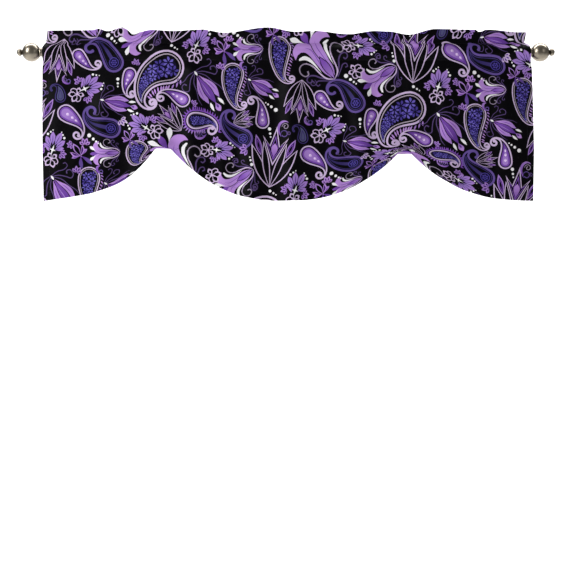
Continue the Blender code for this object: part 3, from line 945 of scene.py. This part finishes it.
# One repeat of the print, drawn in this order
MOTIFS = (
    # motif, x, y, turn, size, and the settings of those motifs that have some
    (paisley, 168.6, 67.5, 170, 1, GRAND),
    (paisley, 234, 74, 101, 1, MIDDLING),
    (paisley, 282, 48, 101, 1, MIDDLING),
    (spiky, 196, 121, -4, 1, dict(length=44, head=8.6, bend=400)),
    (violet, 115, 62.5, -119, 1, dict(length=52, head=10, bend=-290)),
    (violet, 112, 128.6, 191, 1, dict(length=50, head=10, bend=300)),
    (violet, 243.5, 139, 212, 1, dict(length=51, head=10, bend=290)),
    (small_blue, 62, 97.5, -88, 0.9, dict(length=26, head=6.2, bend=-230)),
    (drop, 80, 56, 50, 1, dict(length=42, head=6.8, bend=-430)),
    (drop, 131, 74, 112, 1, dict(length=42, head=6.8, bend=-450)),
    (drop, 184, 100, 212, 1, dict(length=46, head=7.6, bend=-450)),
    (drop, 67.6, 113.4, 36, 1, dict(length=51, head=8.8, bend=440)),
    (drop, 263, 122, -90, 1, dict(length=48, head=7, bend=-450)),
    (lotus, 269.2, 187.6, -82, 1),
    (lotus, 62, 39, 95, 0.71),
    (lotus, 182, 131, -130, 0.55),
    (lotus, 234, 123, -15, 0.37),
    (lily, 336, 79, -124, 1),
    (lily_drops, 336, 79, -124, 1),
    (lily, 265, 49.5, 180, 0.55),
    (lily_drops, 265, 49.5, 180, 0.52),
    (lily, 397.5, 66, 146, 0.75),
    (lily_drops, 397.5, 66, 146, 0.71),
    (fuchsia, 196, 72, 56, 1),
    (fuchsia, 249, 79, 30, 0.76),
    (fuchsia, 102, 100, 12, 0.81),
    (star_flower, 86, 89, -30, 0.92),
    (star_flower, 198, 46, -75, 0.92),
    (star_flower, 361, 46, 5, 0.85),
    (star_flower, 147, 128, 208, 0.92),
    (blossom, 356, 71, 20, 0.95),
    (spray, 226, 52, -122, 1),
    (spray, 131, 140, -122, 0.8),
    (floret, 137, 63, -80, 0.8),
    (floret, 389, 46, 170, 1.05),
    (floret, 123, 121, 40, 0.95, dict(paint="grape", rim="lilac")),
    (floret, 195, 104, -30, 0.7),
    (floret, 216, 41, 170, 0.75),
    (floret, 230, 39, -90, 0.95, dict(rim="orchid")),
    (floret, 222, 67, -70, 0.9),
    (hook, 72, 83, 145, 0.75, dict(length=20, bend=180, power=1)),
    (hook, 207, 134, 121, 0.75, dict(length=21, bend=150, power=1.5)),
    (hook, 281.5, 137, 243, 0.8, dict(length=29, bend=165, power=1.8)),
    (hook, 246, 70, 200, 0.8, dict(length=15, bend=170, power=1.5)),
    (dots, 106, 35, 40, 1, dict(largest=2.1, count=4)),
    (dots, 119, 79, 90, 1, dict(largest=1.6, count=3)),
    (dots, 173, 46, 33, 1, dict(largest=1.5, count=3)),
    (dots, 276.5, 110, 216, 1, dict(largest=2, count=4)),
    (dots, 396, 61, -104, 1, dict(largest=1.6, count=3)),
    (dots, 90.4, 135.6, 41, 1, dict(largest=2, count=4)),
    (dots, 270, 129, 83, 1, dict(largest=1.7, count=3)),
    (curl, 73, 42, -60, 1, dict(radius=3.6, turns=1.25)),
    (curl, 158, 42, 60, 1, dict(radius=3.2, turns=-1.2)),
    (curl, 380, 57, 180, 1, dict(radius=3.2, turns=1.2)),
    (curl, 399, 84, -90, 1, dict(radius=3.2, turns=1.25)),
    (curl, 286, 127, 180, 1, dict(radius=3.6, turns=1.25, paint="ash")),
    (curl, 289, 134, 180, 1, dict(radius=2.2, turns=1.3)),
    (curl, 199, 136, 180, 1, dict(radius=2.6, turns=1.3)),
    (curl, 66, 80, 180, 1, dict(radius=2.4, turns=1.3)),
)


def on_panel(points):
    """Places on the flat cloth of points of the print."""
    return (points - (PRINT_X, PRINT_Y)) * (PRINT_UNIT, -PRINT_UNIT)


def print_shapes():
    """All shapes that touch the panel, as last drawn on top: (outline, paint, far paint, start, end)."""
    made = []
    steps = [np.array(REPEAT_ACROSS) * i + np.array(REPEAT_UP) * j for i in STEPS_ACROSS for j in STEPS_UP]
    for motif, x, y, turn, size, *settings in MOTIFS:
        drawing = Drawing()
        drawing.place(x, y, turn, size)
        drawing.base = drawing.matrix, drawing.offset
        drawing.place()
        motif(drawing, **dict(*settings))
        for step in steps:
            for points, paint, far, start, end in drawing.shapes:
                outline = filled_in(on_panel(thinned(points, FLAT_POINT) + step), GRID)
                if (outline.min(0) < FLAT_HIGH).all() and (outline.max(0) > FLAT_LOW).all():
                    made.append((outline, paint, far, on_panel(start + step), on_panel(end + step)))
    ends = np.cumsum([len(shape[0]) for shape in made])[:-1]
    outlines = np.split(lattice_place(np.concatenate([shape[0] for shape in made])), ends)
    return [(outline, *shape[1:]) for outline, shape in zip(outlines, made)]


# ---- The cloth's mesh

def linear(colour):
    """A colour as it looks, 0 to 255, as Blender's linear values."""
    share = np.array(colour) / 255
    return np.where(share <= 0.04045, share / 12.92, ((share + 0.055) / 1.055) ** 2.4)


def winding(places, outline):
    """How many times an outline goes round each place."""
    a, b = outline, np.roll(outline, -1, 0)
    x, y = places[:, :1], places[:, 1:]
    side = (b[:, 0] - a[:, 0]) * (y - a[:, 1]) - (x - a[:, 0]) * (b[:, 1] - a[:, 1])
    rising = (a[:, 1] <= y) & (b[:, 1] > y) & (side > 0)
    falling = (a[:, 1] > y) & (b[:, 1] <= y) & (side < 0)
    return rising.sum(1) - falling.sum(1)


def top_shapes(places, outlines):
    """The number of the last outline that holds each place, or -1 on the bare ground."""
    order = np.argsort(places[:, 0])
    sorted_s = places[order, 0]
    top = np.full(len(places), -1)
    for number, outline in enumerate(outlines):
        low, high = outline.min(0), outline.max(0)
        first, last = np.searchsorted(sorted_s, (low[0], high[0]))
        near = order[first:last]
        near = near[(places[near, 1] > low[1]) & (places[near, 1] < high[1])]
        top[near[winding(places[near], outline) != 0]] = number
    return top


def triangulated(lattice, outlines, border=None):
    """(places, triangles) of the flat panel, with edges along every fence and outline."""
    across, up = lattice
    s, t = np.meshgrid(across, up)
    rows, columns = s.shape
    fence_columns = np.isin(across, FENCES_ACROSS) | np.isin(across, (FLAT_LEFT, FLAT_RIGHT))
    fence_rows = np.isin(up, FENCES_UP) | np.isin(up, (FLAT_BOTTOM, FLAT_TOP))
    kept = np.ones(s.shape, bool)
    for outline in outlines:
        i = np.rint(np.interp(outline[:, 0], across, np.arange(columns))).astype(int)
        j = np.rint(np.interp(outline[:, 1], up, np.arange(rows))).astype(int)
        near = np.abs(across[i] - outline[:, 0]) + np.abs(up[j] - outline[:, 1]) < CLEAR
        kept[j[near], i[near]] = False
    kept[fence_rows] = True
    kept[:, fence_columns] = True
    inner = slice(None)
    if border is not None:
        inner = slice(1, -1)
        for fences, sides in ((fence_rows, kept), (fence_columns, kept.T)):
            fences[[0, -1]] = False
            sides[[0, -1]] = False
    number = np.cumsum(kept).reshape(kept.shape) - 1
    places = [np.stack([s[kept], t[kept]], 1)]
    edges = []
    for fence in (*number[fence_rows][:, inner], *number[:, fence_columns].T[:, inner]):
        edges.append(np.stack([fence[:-1], fence[1:]], 1))
    count = len(places[0])
    for outline in outlines + ([] if border is None else [border]):
        numbers = count + np.arange(len(outline))
        edges.append(np.stack([numbers, np.roll(numbers, -1)], 1))
        places.append(outline)
        count += len(outline)
    points = [Vector(place) for place in np.concatenate(places).tolist()]
    found = delaunay_2d_cdt(points, np.concatenate(edges).tolist(), [], 0, SAME_PLACE, False)
    places = np.array([tuple(place) for place in found[0]])
    triangles = np.array(found[2])
    middle = places[triangles].mean(1)
    inside = (middle > FLAT_LOW).all(1) & (middle < FLAT_HIGH).all(1)
    triangles = triangles[inside]
    used = np.unique(triangles)
    renumbered = np.zeros(len(places), int)
    renumbered[used] = np.arange(len(used))
    return places[used], renumbered[triangles]


def border_order(places):
    """Numbers of the places on the panel's edge, in order round it."""
    s, t = places.T
    width, height = FLAT_RIGHT - FLAT_LEFT, FLAT_TOP - FLAT_BOTTOM
    sides = [np.abs(t - FLAT_BOTTOM), np.abs(s - FLAT_RIGHT), np.abs(t - FLAT_TOP), np.abs(s - FLAT_LEFT)]
    on = [side < ON_EDGE for side in sides]
    round_it = np.select(
        on,
        [
            s - FLAT_LEFT,
            width + t - FLAT_BOTTOM,
            width + height + FLAT_RIGHT - s,
            2 * width + height + FLAT_TOP - t,
        ],
        -1.0,
    )
    order = np.argsort(round_it)
    return order[round_it[order] >= 0]


def corner_colours(places, triangles, shapes, soften):
    """Linear colours of the print for each corner of each triangle."""
    top = top_shapes(places[triangles].mean(1), [shape[0] for shape in shapes])
    colours = np.empty((len(triangles), 3, 3))
    colours[:] = soften(linear(PAINTS["ink"]))
    order = np.argsort(top)
    firsts = np.searchsorted(top[order], np.arange(len(shapes) + 1))
    for number, (_, paint, far, start, end) in enumerate(shapes):
        here = order[firsts[number]:firsts[number + 1]]
        if far is None:
            colours[here] = soften(linear(PAINTS[paint]))
            continue
        along = end - start
        share = np.clip((places[triangles[here]] - start) @ along / (along @ along), 0, 1)[..., None]
        mixed = linear(PAINTS[paint]) * (1 - share) + linear(PAINTS[far]) * share
        colours[here] = soften(mixed)
    return colours


def bake_places(s, t, strip, reverse):
    """Where the corners lie in a square map: two half widths one above the other, the reverse beside them."""
    half, height = SPLIT - FLAT_LEFT, FLAT_TOP - FLAT_BOTTOM
    beside = half + 2 * MAP_GAP + (t - FLAT_BOTTOM) * REVERSE_SCALE
    u = np.where(reverse, beside, s - FLAT_LEFT - strip * half)
    v = np.where(reverse, (s - FLAT_LEFT) * REVERSE_SCALE, t - FLAT_BOTTOM + strip * (height + MAP_GAP))
    return np.stack([u, v], -1) / (2 * height + 2 * MAP_GAP)


def shows_through(outline):
    """Whether a shape is large enough to be drawn on the reverse side."""
    return np.ptp(outline, 0).max() > SHOWS_THROUGH


def coarse(outline):
    """An outline for the reverse side: fewer points, and all of them inside the panel's edge."""
    return filled_in(np.clip(thinned(outline, COARSE_POINT), FLAT_LOW + 1, FLAT_HIGH - 1), GRID)


def faded(colour):
    """How a colour of the print shows on the cloth's reverse side."""
    grey = np.mean(colour, -1, keepdims=True)
    return REVERSE_GROUND + REVERSE_SHARE * (REVERSE_COLOUR * colour + (1 - REVERSE_COLOUR) * grey)


def cloth_mesh():
    """The cloth as one closed mesh: the printed side, the reverse side and the raw edges between them."""
    shapes = print_shapes()
    lattice = panel_lines()
    front_places, front = triangulated(lattice, [shape[0] for shape in shapes])
    rim = border_order(front_places)
    through_cloth = [(coarse(shape[0]), *shape[1:]) for shape in shapes if shows_through(shape[0])]
    back_places, back = triangulated(lattice, [shape[0] for shape in through_cloth], front_places[rim])
    behind = border_order(back_places) + len(front_places)
    places = np.concatenate([front_places, back_places])
    ahead, after = np.roll(rim, -1), np.roll(behind, -1)
    sides = np.concatenate([np.stack([ahead, rim, behind], 1), np.stack([ahead, behind, after], 1)])
    triangles = np.concatenate([front, back[:, ::-1] + len(front_places), sides])

    side = np.where(np.arange(len(places)) < len(front_places), -1.0, 1.0)
    middle = cloth_place(*places.T)
    normal = reverse_normal(cloth_place, *places.T) * side[:, None]
    points = (middle + normal * THICKNESS / 2) * MM

    mesh = bpy.data.meshes.new("printed_cloth")
    mesh.vertices.add(len(points))
    mesh.vertices.foreach_set("co", points.ravel())
    mesh.loops.add(triangles.size)
    mesh.loops.foreach_set("vertex_index", triangles.ravel())
    mesh.polygons.add(len(triangles))
    mesh.polygons.foreach_set("loop_start", np.arange(0, triangles.size, 3))
    mesh.update(calc_edges=True)
    mesh.shade_smooth()
    mesh.normals_split_custom_set_from_vertices(normal)

    colours = np.ones((len(triangles), 3, 4))
    colours[:, :, :3] = linear(PAINTS["ink"])
    colours[:len(front), :, :3] = corner_colours(front_places, front, shapes, lambda colour: colour)
    reverse = corner_colours(back_places, back, through_cloth, faded)
    colours[len(front):len(front) + len(back), :, :3] = reverse[:, ::-1]
    mesh.color_attributes.new("print", "FLOAT_COLOR", "CORNER").data.foreach_set("color", colours.ravel())

    s, t = places[triangles].transpose(2, 0, 1)
    reverse = (np.arange(len(triangles)) >= len(front)) & (np.arange(len(triangles)) < len(front) + len(back))
    strip = (s.mean(1) > SPLIT)[:, None]
    for name, values in (
        ("OFBake", bake_places(s, t, strip, reverse[:, None])),
        ("panel", np.stack([s, t], -1) * MM),
    ):
        mesh.uv_layers.new(name=name).data.foreach_set("uv", values.ravel())
    mesh.uv_layers.active = mesh.uv_layers["panel"]
    return mesh


# ---- Materials

class Paint:
    """A node material with a Principled shader, and short ways to add its nodes."""

    def __init__(self, name, **settings):
        self.made = bpy.data.materials.new(name)
        self.made.use_nodes = True
        self.nodes = self.made.node_tree.nodes
        self.links = self.made.node_tree.links
        self.shader = self.nodes["Principled BSDF"]
        for socket, value in settings.items():
            self.shader.inputs[socket.replace("_", " ")].default_value = value

    def node(self, kind, inputs=(), **settings):
        """A new node. An input is another node's output, or else a value."""
        made = self.nodes.new(kind)
        for key, value in settings.items():
            setattr(made, key, value)
        for socket, value in dict(inputs).items():
            if isinstance(value, bpy.types.NodeSocket):
                self.links.new(value, made.inputs[socket])
            else:
                made.inputs[socket].default_value = value
        return made

    def noise(self, place, scale, detail=2.0, roughness=0.5):
        inputs = {"Vector": place, "Scale": scale, "Detail": detail, "Roughness": roughness}
        return self.node("ShaderNodeTexNoise", inputs).outputs["Fac"]

    def spread(self, value, low, high):
        """A value from 0 to 1, brought to between low and high."""
        inputs = {"Value": value, "To Min": low, "To Max": high}
        return self.node("ShaderNodeMapRange", inputs).outputs["Result"]

    def combined(self, first, second, operation="ADD"):
        """Two values joined by a Math node. SINE and ABSOLUTE take only the first."""
        return self.node("ShaderNodeMath", {0: first, 1: second}, operation=operation).outputs[0]

    def scaled(self, colour, value):
        """A colour times a value."""
        inputs = {0: colour, "Scale": value}
        return self.node("ShaderNodeVectorMath", inputs, operation="SCALE").outputs["Vector"]

    def bumped(self, height, distance, strength=1.0):
        """Lets a height from 0 to 1 stand out by a distance in metres."""
        inputs = {"Height": height, "Distance": distance, "Strength": strength}
        bump = self.node("ShaderNodeBump", inputs)
        self.links.new(bump.outputs["Normal"], self.shader.inputs["Normal"])

    def join(self, value, socket):
        self.links.new(value, self.shader.inputs[socket])


def threads(paint, place):
    """Height of a plain weave: threads that run both ways and pass over and under by turns."""
    parts = paint.node("ShaderNodeSeparateXYZ", {0: place}).outputs
    waves = []
    for axis in (0, 1):
        angle = paint.combined(parts[axis], math.pi / THREAD_PITCH, "MULTIPLY")
        waves.append(paint.combined(angle, 0.0, "SINE"))
    product = paint.combined(waves[0], waves[1], "MULTIPLY")
    return paint.combined(product, 0.0, "ABSOLUTE")


def cloth_paint():
    """The print's colours, a little uneven, on a matt plain weave with painted highlight on its threads and
    painted shade between them.
    """
    paint = Paint("printed_cotton", Specular_IOR_Level=0.05)
    place = paint.node("ShaderNodeUVMap", uv_map="panel").outputs["UV"]
    print_colour = paint.node("ShaderNodeAttribute", attribute_name="print").outputs["Color"]
    weave = threads(paint, place)
    cloudy = paint.noise(place, scale=14.0, detail=4.0)
    grainy = paint.noise(place, scale=900.0)
    tone = paint.combined(paint.spread(cloudy, 0.86, 1.14), paint.spread(grainy, 0.9, 1.1), "MULTIPLY")
    # The weave's height also paints a highlight on the threads' crowns and shade between them.
    tone = paint.combined(tone, paint.spread(weave, 0.93, 1.05), "MULTIPLY")
    paint.join(paint.scaled(print_colour, tone), "Base Color")
    paint.join(paint.spread(cloudy, 0.40, 0.50), "Roughness")
    height = paint.combined(weave, paint.combined(grainy, 0.6, "MULTIPLY"))
    paint.bumped(height, distance=0.00006, strength=0.6)
    return paint.made


def thread_paint():
    """Near-black sewing thread, with painted shade between its strands and a painted highlight on them."""
    paint = Paint("sewing_thread", Roughness=0.55, Specular_IOR_Level=0.4)
    place = paint.node("ShaderNodeTexCoord").outputs["Object"]
    twist = paint.noise(place, scale=2500.0, detail=1.0)
    # The twist's noise paints shade between the strands and a highlight on them, just as it lifts them in the
    # bump.
    mix = paint.node("ShaderNodeMix", {0: twist, 6: THREAD_PAINTED_SHADE, 7: THREAD_PAINTED_HIGHLIGHT}, data_type="RGBA")
    paint.join(mix.outputs[2], "Base Color")
    paint.bumped(twist, distance=0.00005)
    return paint.made


def metal_paint(name, tarnish_from_shape):
    """Nickel with a warm brown patina, which is thickest in the grooves."""
    paint = Paint(name, Metallic=1.0)
    place = paint.node("ShaderNodeTexCoord").outputs["Object"]
    cloudy = paint.noise(place, scale=90.0, detail=5.0, roughness=0.6)
    fine = paint.noise(place, scale=700.0, detail=3.0)
    tarnish = paint.spread(cloudy, 0.0, 0.45)
    if tarnish_from_shape:
        shape = paint.node("ShaderNodeAttribute", attribute_name="tarnish").outputs["Fac"]
        tarnish = paint.combined(tarnish, shape)
    ramp = paint.node("ShaderNodeValToRGB", {0: tarnish})
    ramp.color_ramp.elements[0].color = NICKEL
    ramp.color_ramp.elements[1].color = PATINA
    paint.join(ramp.outputs["Color"], "Base Color")
    rough = paint.combined(paint.spread(tarnish, 0.27, 0.45), paint.spread(fine, -0.03, 0.03))
    paint.join(rough, "Roughness")
    paint.bumped(fine, distance=0.00003, strength=0.4)
    return paint.made


# ---- Stitches

def stitch_lines():
    """Places on the panel of the middle of each stitch, and the way each points: (s, t, ds, dt) rows."""
    across = np.arange(LEFT + STITCH_MARGIN, RIGHT - STITCH_MARGIN, STITCH_PITCH)
    up = np.arange(HEM + STITCH_MARGIN, FLAT_TOP - STITCH_MARGIN, STITCH_PITCH)
    seams = (HEADER_SEAM, POCKET_SEAM, BACK_HEADER_SEAM, BACK_POCKET_SEAM, HEM + STITCH_IN, HEM - STITCH_IN)
    rows = [(across, t, 1, 0) for t in seams]
    for edge in (LEFT, RIGHT):
        rows += [(s, up, 0, 1) for s in (edge + SIDE_STITCH_IN, edge - SIDE_STITCH_IN)]
    return np.concatenate([np.stack(np.broadcast_arrays(*row), 1) for row in rows])


def stitches():
    """Short lengths of thread on the cloth's right side, whose ends go down into it."""
    s, t, ds, dt = stitch_lines().T
    along, thick, lift = np.array(STITCH_PROFILE).T * [[STITCH_LENGTH / 2], [THREAD_RADIUS], [THREAD_RADIUS]]
    rings = []
    tilt = np.linspace(0, math.tau, THREAD_SIDES, endpoint=False)
    normal = -reverse_normal(cloth_place, s, t)
    ahead = cloth_place(s + ds, t + dt) - cloth_place(s - ds, t - dt)
    ahead /= np.linalg.norm(ahead, axis=1, keepdims=True)
    across = np.cross(normal, ahead)
    for step, radius, up in zip(along, thick, lift):
        centre = cloth_place(s + ds * step, t + dt * step) + normal * (THICKNESS / 2 + up)
        spoke = np.cos(tilt)[:, None] * across[:, None] + np.sin(tilt)[:, None] * normal[:, None]
        rings.append(centre[:, None] + radius * spoke)
    points = np.stack(rings, 1).reshape(-1, 3) * MM
    count, sides, levels = len(s), THREAD_SIDES, len(STITCH_PROFILE)
    ring = np.arange(sides)
    quads = []
    for level in range(levels - 1):
        a = level * sides + ring
        b = level * sides + (ring + 1) % sides
        quads.append(np.stack([a, b, b + sides, a + sides], 1))
    quads = np.concatenate(quads)
    first = np.arange(count)[:, None, None] * levels * sides
    faces = (first + quads).reshape(-1, 4).tolist()
    ends = np.stack([ring[::-1], ring + (levels - 1) * sides])
    faces += (first + ends).reshape(-1, sides).tolist()
    mesh = bpy.data.meshes.new("stitches")
    mesh.from_pydata(points, [], faces)
    mesh.shade_smooth()
    return mesh


# ---- Turned metal ends

def arc(centre, length, radius, start, end, steps):
    """Points of a round or oval profile. 0 degrees points outwards along the rod, 90 away from its axis."""
    return [(centre + length * math.cos(t), radius * math.sin(t))
            for t in np.radians(np.linspace(start, end, steps + 1))]


def turned(name, profile, side):
    """A closed (distance along the rod, radius, tarnish) profile, spun round the rod's axis."""
    points = np.array(profile)
    along, radius, tarnish = points.T
    turns = np.linspace(0, math.tau, TURNED_SIDES, endpoint=False)
    x = np.repeat(side * along, TURNED_SIDES)
    y = np.outer(radius, np.cos(turns)).ravel()
    z = np.outer(radius, side * np.sin(turns)).ravel()
    count = len(points)
    ring = np.arange(TURNED_SIDES)
    after = (ring + 1) % TURNED_SIDES
    faces = []
    for k in range(count):
        a, b = k * TURNED_SIDES, (k + 1) % count * TURNED_SIDES
        faces.append(np.stack([a + ring, a + after, b + after, b + ring], 1))
    mesh = bpy.data.meshes.new(name)
    mesh.from_pydata(np.stack([x, y, z], 1) * MM, [], np.concatenate(faces).tolist())
    attribute = mesh.attributes.new("tarnish", "FLOAT", "POINT")
    attribute.data.foreach_set("value", np.repeat(tarnish, TURNED_SIDES))
    bm = bmesh.new()
    bm.from_mesh(mesh)
    bmesh.ops.remove_doubles(bm, verts=bm.verts, dist=WELD)
    bmesh.ops.recalc_face_normals(bm, faces=bm.faces)
    bm.to_mesh(mesh)
    bm.free()
    mesh.shade_smooth()
    mesh.set_sharp_from_angle(angle=SHARP_ANGLE)
    return mesh


def ferrule_profile():
    """Rows of (distance along the rod, radius, tarnish) round a ferrule's section."""
    start = ROD_HALF_LENGTH - FERRULE_LENGTH
    bore, outer = ROD_RADIUS + FIT, FERRULE_RADIUS
    rows = [(start, bore, 0.5), (start, outer - BEVEL, 0.3), (start + BEVEL, outer, 0.0)]
    for place in GROOVE_PLACES:
        for share in np.linspace(0, 1, 9):
            depth = GROOVE_DEPTH * math.sin(math.pi * share)
            rows.append((start + place + GROOVE_WIDTH * share, outer - depth, 0.6 * depth / GROOVE_DEPTH))
    return rows + [
        (ROD_HALF_LENGTH - BEVEL, outer, 0.0),
        (ROD_HALF_LENGTH, outer - BEVEL, 0.5),
        (ROD_HALF_LENGTH, bore, 0.5),
    ]


def finial_profile():
    """Rows of (distance along the rod, radius, tarnish) round a finial's section, from spigot to tip."""
    back = ROD_HALF_LENGTH + FIT
    spigot = SPIGOT_RADIUS
    back_angle = math.degrees(math.acos((back - BALL_CENTRE) / BALL_RADIUS))
    end_angle = math.degrees(math.acos((BALL_END - BALL_CENTRE) / BALL_RADIUS))
    tip_angle = 180 - math.degrees(math.asin(NECK_RADIUS / TIP_RADIUS))
    ball = arc(BALL_CENTRE, BALL_RADIUS, BALL_RADIUS, back_angle, end_angle, 44)
    tip = arc(TIP_CENTRE, TIP_BACK_LENGTH, TIP_RADIUS, tip_angle, 90, 10)
    tip += arc(TIP_CENTRE, TIP_FRONT_LENGTH, TIP_RADIUS, 90, 0, 16)[1:]
    rows = [(back - SPIGOT_LENGTH, 0.0, 0.4), (back - SPIGOT_LENGTH, spigot, 0.4), (back, spigot, 0.6)]
    for k, (along, radius) in enumerate(ball):
        rows.append((along, radius, 0.5 * max(0.0, 1 - k / 6, 1 - (len(ball) - 1 - k) / 5)))
    neck_from, neck_to = ball[-1], tip[0]
    for share in np.linspace(0.2, 0.8, 5):
        along = neck_from[0] + (neck_to[0] - neck_from[0]) * share
        line = neck_from[1] + (neck_to[1] - neck_from[1]) * share
        rows.append((along, line - NECK_WAIST * math.sin(math.pi * share), 0.6))
    for k, (along, radius) in enumerate(tip):
        rows.append((along, max(radius, 0.0), 0.5 * max(0.0, 1 - k / 8)))
    rows[-1] = (TIP_CENTRE + TIP_FRONT_LENGTH, 0.0, 0.0)
    return rows


# ---- Studio

def linked(name, data):
    """An object in the scene that shows a mesh, a light or a camera."""
    made = bpy.data.objects.new(name, data)
    bpy.context.scene.collection.objects.link(made)
    return made


def camera():
    data = bpy.data.cameras.new("camera")
    data.sensor_width = SENSOR
    data.lens = SENSOR * VIEW_DISTANCE / VIEW_WIDTH
    made = linked("camera", data)
    made.location = (VIEW_X * MM, -VIEW_DISTANCE * MM, VIEW_Z * MM)
    made.rotation_euler = (math.radians(90), 0, 0)
    bpy.context.scene.camera = made


def area_light(name, place, aim, size, power):
    data = bpy.data.lights.new(name, "AREA")
    data.shape = "RECTANGLE"
    data.size, data.size_y = size
    data.energy = power
    made = linked(name, data)
    made.location = place
    made.rotation_euler = (Vector(aim) - Vector(place)).to_track_quat("-Z", "Y").to_euler()


def backdrop():
    """A pale floor that curves up behind into a wall."""
    bm = bmesh.new()
    floor = FLOOR_Z * MM
    profile = [(-STUDIO_HALF, floor), (STUDIO_BACK - STUDIO_CURVE, floor)]
    for step in range(1, CURVE_STEPS + 1):
        turn = math.pi / 2 * step / CURVE_STEPS
        along = STUDIO_BACK - STUDIO_CURVE + STUDIO_CURVE * math.sin(turn)
        profile.append((along, floor + STUDIO_CURVE * (1 - math.cos(turn))))
    profile.append((STUDIO_BACK, floor + STUDIO_HALF))
    left = [bm.verts.new((-STUDIO_HALF, y, z)) for y, z in profile]
    right = [bm.verts.new((STUDIO_HALF, y, z)) for y, z in profile]
    for i in range(len(profile) - 1):
        bm.faces.new((left[i], right[i], right[i + 1], left[i + 1]))
    mesh = bpy.data.meshes.new("backdrop")
    bm.to_mesh(mesh)
    bm.free()
    mesh.shade_smooth()
    paint = Paint("backdrop", Base_Color=STUDIO_PAINT, Roughness=0.9)
    mesh.materials.append(paint.made)
    linked("backdrop", mesh)


def lights():
    world = bpy.data.worlds.new("studio")
    world.use_nodes = True
    background = world.node_tree.nodes["Background"]
    background.inputs["Color"].default_value = LIGHT_COLOUR
    background.inputs["Strength"].default_value = WORLD
    bpy.context.scene.world = world
    for row in LIGHTS:
        area_light(*row)


def piece(name, mesh, paint, slot, *replaced):
    """An object of the model: it rides on the valance's one body and may stand for CAD nodes."""
    made = linked(name, mesh)
    mesh.materials.append(paint)
    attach(made, "root")
    if replaced:
        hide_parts(*replaced)
    return made


def main():
    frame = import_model()
    camera()
    lights()
    backdrop()

    cloth = piece("printed_cloth", cloth_mesh(), cloth_paint(), "printed_cloth", "valance")
    seams = piece("seam_stitches", stitches(), thread_paint(), "printed_cloth")

    metal = metal_paint("aged_nickel", True)
    for word, side in (("left", -1), ("right", 1)):
        ferrule = turned(f"turned_ferrule_{word}", ferrule_profile(), side)
        piece(f"turned_ferrule_{word}", ferrule, metal, "finial_metal", f"ferrule_{word}")
        finial = turned(f"turned_finial_{word}", finial_profile(), side)
        piece(f"turned_finial_{word}", finial, metal, "finial_metal", f"finial_{word}")
    rod_metal = metal_paint("aged_nickel_rod", False)
    for slot in frame["nodes"]["rod"].material_slots:
        slot.material = rod_metal

    bpy.context.scene.view_settings.view_transform = "Standard"


main()
